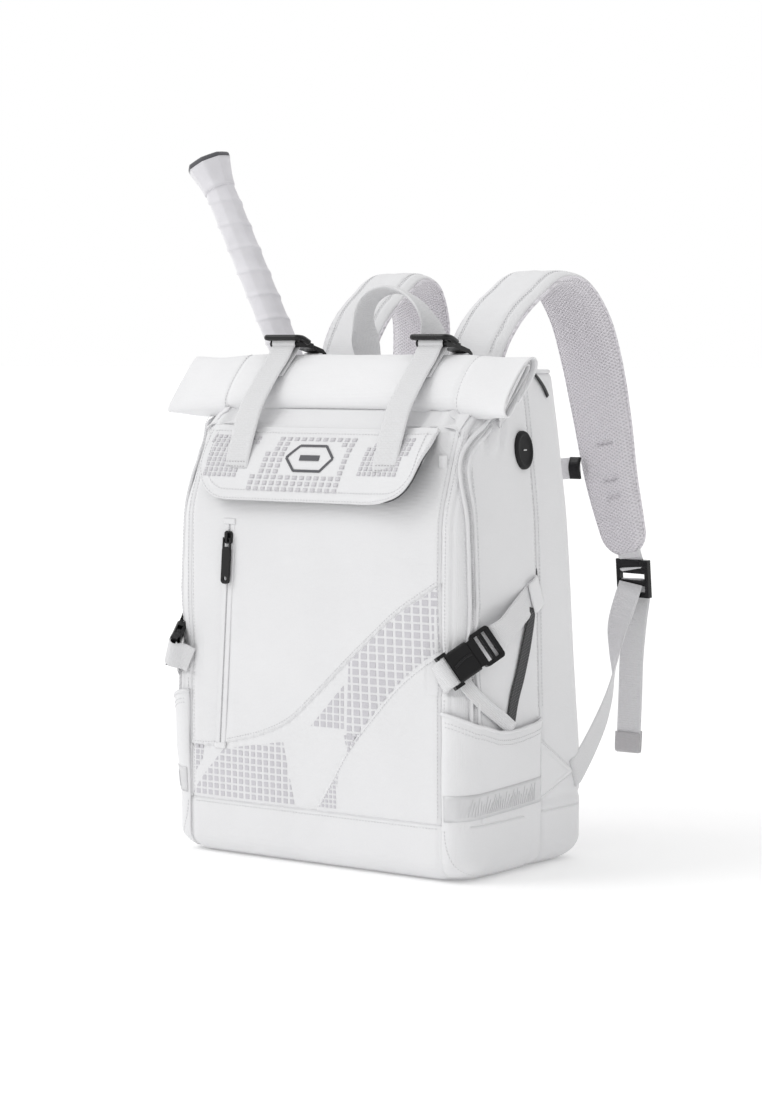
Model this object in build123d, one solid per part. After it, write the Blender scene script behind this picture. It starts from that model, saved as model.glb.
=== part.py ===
from build123d import *
import math
import os

# Roll-top racket backpack, in millimetres, +Z up.
# The origin is the centre of the base's resting face. -Y is the front, +Y the wearer's
# side and +X the right-hand side seen from the front.

# ---- driving dimensions -------------------------------------------------------------
BASE_HALF_WIDTH = 155.0
BODY_FRONT = -94.0
WALL = 3.0
CORNER_RADIUS = 24.0
BOOT_TOP = 48.0
BOOT_FLOOR_TOP = 8.0
POCKET_DIVIDER_Y = -70.0
SLEEVE_DIVIDER_Y = 11.0
SIDE_SEAM_Y = 21.0
FRONT_SEAM_X = 134.0
BODY_TOP = 418.0
FAR = 300.0
SIDES = {"right": 1, "left": -1}
UP = (Align.CENTER, Align.CENTER, Align.MIN)

# front pocket's mouth, and the zip over the rear part
MOUTH_HALF_WIDTH = 105.0
MOUTH_LOW = 346.0
MOUTH_HIGH = 362.0
REAR_ZIP_Y = 60.0

# outline of the stuffed body: height, half width, front and back faces
STATIONS = [
    (0.0, 149.0, -88.0, 88.0),
    (8.0, 154.0, -93.0, 93.0),
    (100.0, BASE_HALF_WIDTH, BODY_FRONT, 91.0),
    (220.0, 150.0, BODY_FRONT, 84.0),
    (300.0, 145.5, BODY_FRONT, 80.0),
    (372.0, 138.0, -71.5, 77.0),
    (424.0, 131.0, -57.0, 75.0),
]
# side profile that trims the body below the roll
TOP_EDGE = [(-68.0, 374.0), (-40.0, 374.0), (-10.0, 403.0), (18.0, 415.0), (SIDE_SEAM_Y, BODY_TOP)]

ROLL_LENGTH = 344.0
ROLL_DEPTH = 62.0
ROLL_THICK = 30.0
ROLL_CENTRE = (-34.0, 406.0)
ROLL_LEAN = math.degrees(math.atan2(47.0, 42.0))

FLAP_HALF_WIDTH = 120.0
FLAP_OUTER = [(-76.5, 368.0), (-92.5, 344.0), (-100.5, 308.5)]
FLAP_INNER = [(-97.6, 308.5), (-89.9, 342.6), (-74.8, 365.6)]

STRAP_X = 79.0
WEBBING = 25.0
WEBBING_THICK = 1.8
PAD_THICK = 12.0

RACKET_LENGTH = 655.0
RACKET_EXIT = (-130.8, 30.0, 440.8)
RACKET_BUTT = (-210.6, 21.0, 607.5)
GRIP_RADIUS = 15.0
HEAD_WIDTH = 200.0
HEAD_LENGTH = 240.0


# ---- helpers ------------------------------------------------------------------------
def save(name, shape):
    shape.label = name
    export_step(shape, "parts/" + name + ".step")


def block(x, y, z):
    """Box from three (low, high) pairs."""
    size = Box(x[1] - x[0], y[1] - y[0], z[1] - z[0])
    return Pos((x[0] + x[1]) / 2, (y[0] + y[1]) / 2, (z[0] + z[1]) / 2) * size


def mirrored(shape, side):
    return shape if side > 0 else mirror(shape, about=Plane.YZ)


def body_solid(grow=0.0, lift=0.0):
    """Body outline moved outwards by grow, with its foot raised by lift."""
    sections = []
    for z, half, front, back in STATIONS:
        depth = back - front + 2 * grow
        outline = RectangleRounded(2 * (half + grow), depth, CORNER_RADIUS + grow)
        sections.append(Pos(0, (front + back) / 2, z + (lift if z == 0 else 0)) * outline)
    return loft(sections, ruled=True)


def save_pair(name, right):
    """One node that holds a right-hand piece and its mirror image."""
    save(name, Compound(children=[right, mirrored(right, -1)]))


def side_profile(points, half_width):
    """Closed outline in the YZ plane, extruded to both sides of X = 0."""
    outline = make_face(Plane.YZ * Polyline(*points, close=True))
    return extrude(outline, half_width, both=True)


def ribbon(points, across, width, thick):
    """Flat band along points. across is the direction of its width at each point."""
    sections = []
    last = len(points) - 1
    for i, point in enumerate(points):
        ahead = Vector(*points[min(i + 1, last)])
        behind = Vector(*points[max(i - 1, 0)])
        along = (ahead - behind).normalized()
        side = Vector(*across[i])
        side = (side - along * side.dot(along)).normalized()
        plane = Plane(origin=Vector(*point), x_dir=side, z_dir=along)
        sections.append(plane * Rectangle(width[i], thick))
    return loft(sections, ruled=True)


def strip(points, width, thick, across=(1, 0, 0)):
    """Band of constant width."""
    return ribbon(points, [across] * len(points), [width] * len(points), thick)


# ---- shell --------------------------------------------------------------------------
outer = body_solid()
inner = body_solid(-WALL, 4.0)
trim = side_profile([(-130, -1), (-130, TOP_EDGE[0][1]), *TOP_EDGE, (130, BODY_TOP), (130, -1)], 200)
outer = outer & trim
shell = outer - inner

rack_axis = (Vector(*RACKET_BUTT) - Vector(*RACKET_EXIT)).normalized()
rack_tip = Vector(*RACKET_BUTT) - rack_axis * RACKET_LENGTH
rack_side = Vector(0, 1, 0).cross(rack_axis).normalized()
rack_plane = Plane(origin=rack_tip, x_dir=rack_side, z_dir=rack_axis)
passage = rack_plane * Pos(0, 0, 430) * Cylinder(GRIP_RADIUS + 2.5, 180, align=UP)


def shell_parts():
    floor = shell & block((-FAR, FAR), (-FAR, FAR), (0, BOOT_FLOOR_TOP))
    band = shell & block((-FAR, FAR), (-FAR, FAR), (BOOT_FLOOR_TOP, BOOT_TOP))
    save("base_boot", Compound(children=[floor, band]))
    above = shell & block((-FAR, FAR), (-FAR, FAR), (BOOT_TOP, BODY_TOP - WALL))
    front = above & block((-FAR, FAR), (-FAR, POCKET_DIVIDER_Y), (0, FAR * 2))
    mouth = block((-MOUTH_HALF_WIDTH, MOUTH_HALF_WIDTH), (-FAR, POCKET_DIVIDER_Y), (MOUTH_LOW, MOUTH_HIGH))
    save("front_panel", front & block((-FRONT_SEAM_X, FRONT_SEAM_X), (-FAR, 0), (0, 500)) - mouth)
    sides = above & block((-FAR, FAR), (POCKET_DIVIDER_Y, SIDE_SEAM_Y), (0, FAR * 2))
    rear = above & block((-FAR, FAR), (SIDE_SEAM_Y, FAR), (0, FAR * 2))
    save("back_panel", rear & block((-118, 118), (50, FAR), (0, 500)))
    port_hole = port_placing() * Cylinder(13.5, 40)
    save_pair("front_gussets", front & block((FRONT_SEAM_X, FAR), (-FAR, 0), (0, 500)))
    flank = sides & block((20, FAR), (-FAR, FAR), (0, 500))
    save("side_panel_right", flank - port_hole)
    save("side_panel_left", mirrored(flank, -1) - passage)
    rear_corner = rear & block((118, FAR), (0, FAR), (0, 500))
    save("rear_gussets", Compound(children=[rear_corner - port_hole, mirrored(rear_corner, -1) - passage]))


def inside_parts():
    clear = 0.4
    cavity = body_solid(-WALL - clear, 4.0) & trim
    board = cavity & block((-140, 140), (-84, 84), (4.5, 8.0))
    save("base_stiffener", board)
    wall = cavity & block((-FAR, FAR), (POCKET_DIVIDER_Y + 0.5, POCKET_DIVIDER_Y + 3), (8.5, 373))
    save("pocket_divider", wall)
    divider = cavity & block((-FAR, FAR), (SLEEVE_DIVIDER_Y, SLEEVE_DIVIDER_Y + 2.5), (8.5, 405))
    save("sleeve_divider", divider - passage)
    sheet = cavity & block((-112, 112), (67, 69.5), (BOOT_TOP, 400))
    save("frame_sheet", sheet)
    cover = outer & block((-FAR, FAR), (SIDE_SEAM_Y, FAR), (BODY_TOP - WALL, BODY_TOP))
    save("rear_top_cover", cover - passage)


# ---- roll top -----------------------------------------------------------------------
def roll_parts():
    centre = Plane(origin=(0, *ROLL_CENTRE), x_dir=(0, 1, 0), z_dir=(1, 0, 0))
    tilt = Rot(0, 0, ROLL_LEAN)
    section = centre * tilt * RectangleRounded(ROLL_DEPTH, ROLL_THICK, ROLL_THICK / 2 - 0.5)
    core = centre * tilt * RectangleRounded(ROLL_DEPTH - 18, 4, 1.9)
    roll = extrude(section, ROLL_LENGTH / 2, both=True)
    hollow = centre * tilt * RectangleRounded(ROLL_DEPTH - 17, 5, 2.4)
    roll = roll - extrude(hollow, 151, both=True)
    save("roll_top", roll)
    save("roll_stiffener", extrude(core, 150, both=True))
    neck = [(-66, 375.2), (-40.5, 375.2), (-10.6, 404.4), (16, 415.8)]
    save("roll_neck", strip([(0, y, z) for y, z in neck], 252, 1.6) - passage)


# ---- front flap and roll straps -----------------------------------------------------
def flap_parts():
    outline = Pos(0, 338) * Rectangle(2 * FLAP_HALF_WIDTH, 64)
    outline = fillet(outline.vertices().group_by(Axis.Y)[0], 34)
    front_view = extrude(Plane.XZ * outline, 140)
    save("front_flap", side_profile(FLAP_OUTER + FLAP_INNER, FLAP_HALF_WIDTH) & front_view)
    lining = [(-78.0, 360.5), (-89.7, 342.5), (-96.5, 312.5), (-95.5, 312.7), (-88.8, 342.2), (-77.2, 359.8)]
    save("flap_lining", side_profile(lining, FLAP_HALF_WIDTH - 5) & front_view)
    for name, side in SIDES.items():
        x = side * STRAP_X
        route = [(-94.9, 340.5), (-92.8, 347), (-77.5, 388), (-55, 413.4), (-33.5, 437)]
        save("roll_strap_" + name, strip([(x, y, z) for y, z in route], WEBBING, WEBBING_THICK))
        save("roll_hook_" + name, Pos(x, 0, 0) * roll_hook())
    tab = strip([(STRAP_X, 24, 419.3), (STRAP_X, 15, 423.5), (STRAP_X, 9.5, 428.0)], 20, 1.6)
    bar = Pos(STRAP_X, 8, 430.5) * Rot(0, 90, 0) * Cylinder(1.8, 24)
    save_pair("hook_anchors", tab + bar)


def roll_hook():
    """Flat strap hook: slotted bar at the front, lip behind the anchor bar."""
    plate = [(-30.5, 440.2), (-26, 444.8), (-4, 441.5), (13, 437), (17.5, 433.5), (17.5, 428.5)]
    plate += [(13.5, 428.5), (12.5, 433.2), (-6, 437.5), (-16, 438.5), (-24, 438.8)]
    body = side_profile(plate, 12)
    taper = Pos(0, 6, 436) * Box(24, 24, 30) - Pos(0, 6, 436) * Box(15, 24, 30)
    slot = Pos(0, -22.5, 441) * Box(19, 4.5, 20)
    body = body - taper - slot
    bar = Pos(0, -29, 441.6) * Rot(0, 90, 0) * Cylinder(3.1, 32)
    return body + bar


# ---- zips ---------------------------------------------------------------------------
FRONT_ZIP_TOP = Vector(-88, BODY_FRONT, 284)
FRONT_ZIP_FOOT = Vector(-100, BODY_FRONT, 98)
TAPE_THICK = 1.2


def zip_parts():
    down = (FRONT_ZIP_FOOT - FRONT_ZIP_TOP).normalized()
    face = Plane(origin=FRONT_ZIP_TOP, x_dir=down, z_dir=(0, -1, 0))
    length = (FRONT_ZIP_FOOT - FRONT_ZIP_TOP).length
    save("front_zip", face * Pos(length / 2, 0, TAPE_THICK / 2) * Box(length, 12, TAPE_THICK))
    save("front_zip_slider", face * Pos(8, 0, TAPE_THICK + 0.3) * zip_slider())
    save("front_zip_pull", face * Pos(8, 0, TAPE_THICK + 0.3) * zip_pull(32))
    tape = block((-94, 120), (REAR_ZIP_Y - 4, REAR_ZIP_Y + 4), (BODY_TOP, BODY_TOP + TAPE_THICK))
    save("rear_zip", tape)
    top = Plane(origin=(-88, REAR_ZIP_Y, BODY_TOP), x_dir=(-1, 0, 0), z_dir=(0, 0, 1))
    slider = top * Pos(0, 0, TAPE_THICK + 0.3) * Compound(children=[zip_slider(), zip_pull(24)])
    save("rear_zip_slider", slider)
    foot = Vector(154.4, -72, 108)
    head = Vector(145.4, -68.5, 300)
    along = (head - foot).normalized()
    out = Vector(0, 1, 0).cross(along).normalized()
    plane = Plane(origin=foot + out * 1.1, x_dir=along, z_dir=out)
    length = (head - foot).length
    save_pair("side_zips", plane * Pos(length / 2, 0, 0.6) * Box(length, 8, 1.2))
    for name, side in SIDES.items():
        body = plane * Pos(12, 0, TAPE_THICK + 0.1) * zip_slider()
        save("side_zip_slider_" + name, mirrored(body, side))


def zip_slider():
    """Slider body with its bridge; X runs along the zip and Z away from the tape."""
    body = Pos(0, 0, 1.1) * Box(11, 8, 2.2)
    body = chamfer(body.edges().filter_by(Axis.Z), 1.6)
    bridge = Pos(0, 0, 3.3) * Box(8, 2.4, 2.4)
    eye = Pos(0.8, 0, 3.1) * Rot(90, 0, 0) * Cylinder(1.0, 12)
    return body + bridge - eye


def zip_pull(length):
    """Pull tab with a wire pin through the slider's bridge and a hole at its free end."""
    pin = Pos(0.8, 0, 3.1) * Rot(90, 0, 0) * Cylinder(0.7, 8.6)
    arms = Pos(6.2, 3.6, 3.1) * Box(11.6, 1.4, 1.4) + Pos(6.2, -3.6, 3.1) * Box(11.6, 1.4, 1.4)
    blade = Pos(8 + length / 2, 0, 3.1) * Box(length, 8.6, 2.2)
    blade = fillet(blade.edges().filter_by(Axis.Z), 3.2)
    hole = Pos(8 + length - 4.6, 0, 3.1) * Cylinder(2.1, 8)
    return pin + arms + blade - hole


# ---- side pockets and trims ---------------------------------------------------------
POCKET_FOOT = 2.4
POCKET_MOUTH = 12.2


def pocket_shell(low, high):
    """Wedge round the front corner, from low outside the body at its foot to high at its mouth."""
    foot_z = BOOT_TOP + 3
    mouth_z = 125
    bottom = RectangleRounded(2 * (BASE_HALF_WIDTH + low), 190 + 2 * low, CORNER_RADIUS + low)
    top = RectangleRounded(2 * (BASE_HALF_WIDTH + high), 190 + 2 * low, CORNER_RADIUS + high)
    return loft([Pos(0, 1, foot_z) * bottom, Pos(0, 1, mouth_z) * top], ruled=True)


def port_placing():
    return Pos(139.7, 13, 356) * Rot(0, 90 - 6, 0)


def side_parts():
    reach = block((FRONT_SEAM_X, FAR), (-FAR, SIDE_SEAM_Y), (0, 500))
    hollow = pocket_shell(POCKET_FOOT - 1.8, POCKET_MOUTH - 1.8)
    panel = (pocket_shell(POCKET_FOOT, POCKET_MOUTH) - hollow) & reach
    end = (hollow - body_solid(0.3)) & block((FRONT_SEAM_X, FAR), (SIDE_SEAM_Y - 2, SIDE_SEAM_Y), (0, 500))
    save_pair("side_pockets", panel + end)
    band = pocket_shell(POCKET_FOOT + 1.2, POCKET_MOUTH + 1.2)
    band = band - pocket_shell(POCKET_FOOT + 0.2, POCKET_MOUTH + 0.2)
    band = band & reach & block((0, FAR), (-FAR, FAR), (54, 76))
    save_pair("reflective_strips", band)
    trim_route = [(151.0, 12, 223), (152.6, -8, 184), (154.4, -32, 133)]
    save_pair("dark_trims", strip(trim_route, 14, 1.2, (0, 0.9, 0.4)))
    wing_outline = [(22, 56), (22, 112), (66, 82), (66, 70)]
    wing = extrude(make_face(Plane.YZ * Polyline(*wing_outline, close=True)), 1.2, both=True)
    save_pair("strap_wings", Pos(BASE_HALF_WIDTH + 1.7, 0, 0) * wing)
    port = port_placing()
    flange = port * Pos(0, 0, 1.9) * Cylinder(17.5, 2.6)
    neck = port * Pos(0, 0, -0.6) * Cylinder(13.0, 4.4)
    slit = port * Pos(0, 0, 3) * Box(1.0, 12, 3)
    save("cable_port", flange + neck - slit)


# ---- compression buckles ------------------------------------------------------------
BUCKLE_FOOT = Vector(147.2, -104.4, 174.6)
BUCKLE_HEAD = Vector(167.0, -60.4, 201.3)
BUCKLE_OUT = Vector(0.60, -0.79, 0.07)


def buckle_plane():
    along = (BUCKLE_HEAD - BUCKLE_FOOT).normalized()
    out = (BUCKLE_OUT - along * BUCKLE_OUT.dot(along)).normalized()
    return Plane(origin=BUCKLE_FOOT, x_dir=along, z_dir=out)


def buckle_socket():
    """Hollow socket; X runs from its webbing bar towards the plug."""
    case = Pos(17, 0, 0) * Box(22, 27, 8.4)
    case = fillet(case.edges().filter_by(Axis.X), 2.6)
    hollow = Pos(18.5, 0, 0) * Box(25, 22.6, 4.6)
    windows = Pos(16, 0, 0) * Box(12, 40, 4.6)
    frame = Pos(4, 0, 0) * Box(9, 31, 5.6) - Pos(3.6, 0, 0) * Box(4.2, 25.6, 12)
    return case - hollow - windows + frame


def buckle_plug():
    """Plug base with its centre tongue and the strap frame."""
    base = Pos(32.5, 0, 0) * Box(7, 24, 5.6)
    tongue = Pos(21.5, 0, 0) * Box(17, 5.0, 2.6)
    frame = Pos(43, 0, 0) * Box(20, 30, 5.0)
    frame = fillet(frame.edges().filter_by(Axis.Z), 3.4)
    frame = frame - Pos(39.2, 0, 0) * Box(5.2, 23, 12) - Pos(47.0, 0, 0) * Box(5.2, 23, 12)
    return base + tongue + frame


def buckle_prong(side):
    """Sprung arm with a rounded bulge that stands in the socket's window."""
    points = [(28.6, 8.4), (28.6, 10.6), (22.5, 10.6), (17.5, 12.3), (12.5, 11.9), (10.6, 9.4)]
    points += [(13.5, 8.4), (20.5, 8.4)]
    outline = make_face(Polyline(*[(x, side * y) for x, y in points], close=True))
    return Pos(0, 0, -1.8) * extrude(outline, 3.6)


def buckle_parts():
    place = buckle_plane()
    save_pair("buckle_sockets", place * buckle_socket())
    for name, side in SIDES.items():
        save("buckle_plug_" + name, mirrored(place * buckle_plug(), side))
        save("buckle_prong_upper_" + name, mirrored(place * buckle_prong(1), side))
        save("buckle_prong_lower_" + name, mirrored(place * buckle_prong(-1), side))
    tab = [(135.5, -96.4, 168.6), (140.5, -100.8, 171.2), (146.2, -106.3, 173.6)]
    turns = [(0, -0.3, 0.95), (-0.2, -0.3, 0.9), (-0.477, -0.289, 0.83)]
    save_pair("socket_tabs", ribbon(tab, turns, [WEBBING] * 3, WEBBING_THICK))
    route = [(167.6, -55.0, 203.4), (160, -25, 214), (152.8, 19, 232)]
    save_pair("side_straps", strip(route, WEBBING, WEBBING_THICK, (0, -0.55, 0.83)))


# ---- harness ------------------------------------------------------------------------
PAD_ROUTE = [
    (70, 42, 422), (70.5, 53, 444), (72, 70, 464), (74, 96, 483), (77, 128, 499), (82, 158, 493),
    (88, 180, 465), (95, 190, 425), (103, 195, 375), (111, 197, 325), (120, 199, 285), (126, 203, 255),
]
PAD_WIDTH = [56, 60, 62, 62, 62, 62, 62, 62, 62, 62, 52, 44]


def harness_parts():
    for name, side in SIDES.items():
        pad = ribbon(PAD_ROUTE, [(1, 0.0, 0)] * 12, PAD_WIDTH, PAD_THICK)
        save("shoulder_pad_" + name, mirrored(pad, side))
        lock = Plane(origin=(130, 206.5, 232.5), x_dir=(1, 0, 0), z_dir=(0.12, 0.98, 0.1))
        frame = Box(36, 34, 4.6) - Pos(0, 9.5, 0) * Box(28, 6, 12) - Pos(0, -1.5, 0) * Box(28, 6, 12)
        save("ladder_lock_" + name, mirrored(lock * frame, side))
        tail = [(129, 215.5, 220), (122, 216, 170), (118, 215, 120), (116, 214, 80)]
        save("webbing_tail_" + name, mirrored(strip(tail, WEBBING, WEBBING_THICK), side))
    route = [(127, 197, 216), (121, 192, 190), (131, 176, 156)]
    route += [(140, 146, 125), (149, 108, 98), (158.0, 72, 76)]
    turns = [(1, 0, 0), (1, -0.2, 0), (0.8, -0.6, 0.3)]
    turns += [(0.3, -0.7, 0.6), (0.1, -0.6, 0.8), (0, -0.5, 0.85)]
    save_pair("lower_webbings", ribbon(route, turns, [WEBBING] * 6, WEBBING_THICK))
    sternum = {"right": [(77, 194, 330), (45, 190, 324), (17, 189, 322)],
               "left": [(-77, 194, 330), (-45, 190, 324), (-18, 189, 322)]}
    case = Pos(1.5, 189, 322) * (Box(28, 7, 22) - Pos(-3, 0, 0) * Box(26, 3.6, 17))
    ends = {"right": case, "left": Pos(-9, 189, 322) * Box(16, 2.8, 16)}
    for name, route in sternum.items():
        save("sternum_strap_" + name, Compound(children=[strip(route, 19, 1.6, (0, 0, 1)), ends[name]]))
    outside = [(36, 4), (38.5, 34), (34, 52), (22, 66), (8, 72.5)]
    inside = [(7, 69.5), (20, 63.5), (31.2, 50.8), (35.5, 34), (33, 4)]
    far_side = [(-x, z) for x, z in reversed(outside)]
    near_side = [(-x, z) for x, z in reversed(inside)]
    leaning = Plane(origin=(0, 34, 420.5), x_dir=(1, 0, 0), z_dir=(0, -0.966, 0.259))
    arch = make_face(Polyline(*outside, *far_side, *near_side, *inside, close=True))
    save("haul_loop", leaning * extrude(arch, WEBBING / 2, both=True))
    cushion = fillet(Box(86, 9, 150).edges().filter_by(Axis.Y), 14)
    places = [(x, y, z) for x in (-54, 54) for y, z in ((94.8, 135), (85.8, 300))]
    save("back_cushions", Compound(children=[Pos(*place) * Rot(2.8, 0, 0) * cushion for place in places]))


# ---- racket -------------------------------------------------------------------------
def racket_parts():
    grip_length = 205.0
    hoop = Ellipse(HEAD_WIDTH / 2, HEAD_LENGTH / 2) - Ellipse(HEAD_WIDTH / 2 - 7, HEAD_LENGTH / 2 - 7)
    head_plane = rack_plane * Pos(0, 0, HEAD_LENGTH / 2) * Rot(90, 0, 0)
    save("racket_frame", head_plane * extrude(hoop, 5, both=True))
    bed = Ellipse(HEAD_WIDTH / 2 - 7.4, HEAD_LENGTH / 2 - 7.4)
    save("racket_strings", head_plane * extrude(bed, 0.5, both=True))
    grip_foot = RACKET_LENGTH - grip_length
    cone = 24.0
    shaft = Pos(0, 0, HEAD_LENGTH + 0.5) * Cylinder(3.6, grip_foot - cone - HEAD_LENGTH - 0.5, align=UP)
    save("racket_shaft", rack_plane * shaft)
    taper = Pos(0, 0, grip_foot - cone) * Cone(6.0, 12.0, cone, align=UP)
    octagon = RegularPolygon(GRIP_RADIUS, 8, rotation=22.5)
    grip = Pos(0, 0, grip_foot) * extrude(octagon, grip_length - 26)
    save("racket_grip", rack_plane * (grip + taper))
    flare = loft([Pos(0, 0, RACKET_LENGTH - 26) * octagon,
                  Pos(0, 0, RACKET_LENGTH - 4) * RegularPolygon(20.5, 8, rotation=22.5)], ruled=True)
    end = Pos(0, 0, RACKET_LENGTH - 4) * extrude(RegularPolygon(20.5, 8, rotation=22.5), 4)
    save("racket_butt_cap", rack_plane * (flare + end))


os.makedirs("parts", exist_ok=True)
shell_parts()
inside_parts()
roll_parts()
flap_parts()
zip_parts()
side_parts()
buckle_parts()
harness_parts()
racket_parts()
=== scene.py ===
import math

import bpy
import numpy as np
from mathutils import Matrix, Vector, noise


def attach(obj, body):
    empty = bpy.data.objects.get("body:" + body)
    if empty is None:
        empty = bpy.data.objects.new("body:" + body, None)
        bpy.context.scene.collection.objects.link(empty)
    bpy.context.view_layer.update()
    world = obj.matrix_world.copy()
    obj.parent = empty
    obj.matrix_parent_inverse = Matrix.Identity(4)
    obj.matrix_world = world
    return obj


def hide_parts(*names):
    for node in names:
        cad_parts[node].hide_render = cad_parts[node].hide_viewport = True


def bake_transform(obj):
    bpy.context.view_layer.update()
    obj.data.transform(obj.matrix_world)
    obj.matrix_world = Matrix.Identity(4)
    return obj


# Looks of the roll-top racket backpack, in metres, +Z up, -Y the front and +X the right.
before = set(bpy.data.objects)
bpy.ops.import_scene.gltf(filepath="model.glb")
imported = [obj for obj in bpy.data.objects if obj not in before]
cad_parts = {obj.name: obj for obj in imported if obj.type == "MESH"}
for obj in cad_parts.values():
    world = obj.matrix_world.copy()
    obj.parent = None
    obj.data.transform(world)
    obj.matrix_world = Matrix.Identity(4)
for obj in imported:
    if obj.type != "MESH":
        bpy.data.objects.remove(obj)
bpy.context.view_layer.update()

# ---- driving dimensions -------------------------------------------------------------
# outline of the stuffed body: height, half width, front and back faces
STATIONS = np.array([
    (-0.020, 0.155, -0.094, 0.093), (0.100, 0.156, -0.094, 0.091), (0.220, 0.1525, -0.094, 0.084),
    (0.300, 0.149, -0.094, 0.080), (0.372, 0.1420, -0.0715, 0.077), (0.424, 0.1350, -0.057, 0.075),
])
CORNER = 0.022
FOOT_RADIUS = 0.020
BOOT_TOP = 0.048
SIDE_SEAM_Y = 0.021
FRONT_SEAM_X = 0.134
FRONT_TOP = 0.3860
BODY_TOP = 0.418
TOP_EDGE = [(-0.0715, 0.3860), (-0.050, 0.3860), (-0.036, 0.390), (-0.010, 0.413), (0.010, 0.418),
            (0.100, 0.418)]
MOUTH_HALF = 0.105
MOUTH_LOW, MOUTH_HIGH = 0.346, 0.362
SIDES = {"right": 1, "left": -1}
CLOTH = 0.0014
COIL_RADIUS, COIL_PITCH = 0.00075, 0.0014
BACK_SEAM_X = 0.118
GUSSET_Y = -0.069
THREAD_LIFT = 0.0002
SEAM_GAP = 0.0034
STRAP_X = 0.079
WEBBING = 0.025
WEBBING_THICK = 0.0018

ROLL_LEFT, ROLL_RIGHT = 0.190, 0.174
ROLL_CENTRE = Vector((0, -0.034, 0.406))
ROLL_LEAN = math.atan2(47.0, 42.0)
ROLL_SEAM_X = 0.122

BUCKLE_FOOT, BUCKLE_HEAD = Vector((0.1472, -0.1044, 0.1746)), Vector((0.1670, -0.0604, 0.2013))
RACKET_EXIT = Vector((-0.1308, 0.030, 0.4408))
RACKET_BUTT = Vector((-0.2106, 0.021, 0.6075))
RACKET_AXIS = (RACKET_BUTT - RACKET_EXIT).normalized()
RACKET_CLEAR = 0.0178
GRIP_RADIUS = 0.0150


def mm(points):
    """Points written in millimetres, as vectors in metres."""
    return [Vector(p) * 0.001 for p in points]


def smooth(t):
    t = min(1.0, max(0.0, t))
    return t * t * (3 - 2 * t)


def bump(distance, width):
    """1 at no distance, falling to 0 over a few widths."""
    return math.exp(-((distance / width) ** 2))


def signed_power(value, power):
    return math.copysign(abs(value) ** power, value)


def distances(points):
    """How far along the line through points each of them lies."""
    return np.concatenate([[0.0], np.cumsum([(q - p).length for p, q in zip(points, points[1:])])])


def spline(points, count):
    """Smooth curve through points, as count + 1 evenly spaced ones."""
    ends = [points[0] * 2 - points[1]] + list(points) + [points[-1] * 2 - points[-2]]
    fine = []
    for a, b, c, d in zip(ends, ends[1:], ends[2:], ends[3:]):
        for k in range(16):
            t = k / 16
            fine.append(0.5 * (2 * b + (c - a) * t + (2 * a - 5 * b + 4 * c - d) * t * t
                               + (3 * b - a - 3 * c + d) * t ** 3))
    fine.append(points[-1].copy())
    run = distances(fine)
    wanted = np.linspace(0, run[-1], count + 1)
    table = np.array([list(p) for p in fine])
    return [Vector([np.interp(w, run, table[:, k]) for k in range(table.shape[1])]) for w in wanted]


# ---- materials ----------------------------------------------------------------------
def shader(name):
    made = bpy.data.materials.new(name)
    made.use_nodes = True
    nodes = made.node_tree.nodes
    return made, nodes, made.node_tree.links, nodes["Principled BSDF"]


def rotated(nodes, links, source, turn):
    """Coordinates turned about the object's axes."""
    node = nodes.new("ShaderNodeMapping")
    node.inputs["Rotation"].default_value = turn
    links.new(source, node.inputs["Vector"])
    return node.outputs["Vector"]


def wave(nodes, links, source, direction, pitch, profile="SIN"):
    """Bands pitch metres apart along one axis of source."""
    node = nodes.new("ShaderNodeTexWave")
    node.bands_direction = direction
    node.wave_profile = profile
    node.inputs["Scale"].default_value = 0.314 / pitch
    links.new(source, node.inputs["Vector"])
    return node.outputs["Fac"]


def maths(nodes, links, operation, a, b):
    node = nodes.new("ShaderNodeMath")
    node.operation = operation
    for socket, value in zip(node.inputs, (a, b)):
        if isinstance(value, (int, float)):
            socket.default_value = value
        else:
            links.new(value, socket)
    return node.outputs[0]


def noise_node(nodes, links, source, scale, detail=3.0):
    node = nodes.new("ShaderNodeTexNoise")
    node.inputs["Scale"].default_value = scale
    node.inputs["Detail"].default_value = detail
    links.new(source, node.inputs["Vector"])
    return node.outputs["Fac"]


def tinted(nodes, links, colour, factor, spread, target):
    """Colour that varies by spread either side of colour as factor goes from 0 to 1."""
    ramp = nodes.new("ShaderNodeValToRGB")
    for element, scale in zip(ramp.color_ramp.elements, (1 - spread, 1 + spread)):
        element.color = (*[min(1.0, c * scale) for c in colour], 1)
    ramp.color_ramp.elements[0].position = 0.3
    ramp.color_ramp.elements[1].position = 0.7
    links.new(factor, ramp.inputs["Fac"])
    links.new(ramp.outputs["Color"], target)


def bumped(nodes, links, height, distance, bsdf, strength=1.0):
    node = nodes.new("ShaderNodeBump")
    node.inputs["Strength"].default_value = strength
    node.inputs["Distance"].default_value = distance
    links.new(height, node.inputs["Height"])
    links.new(node.outputs["Normal"], bsdf.inputs["Normal"])


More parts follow.
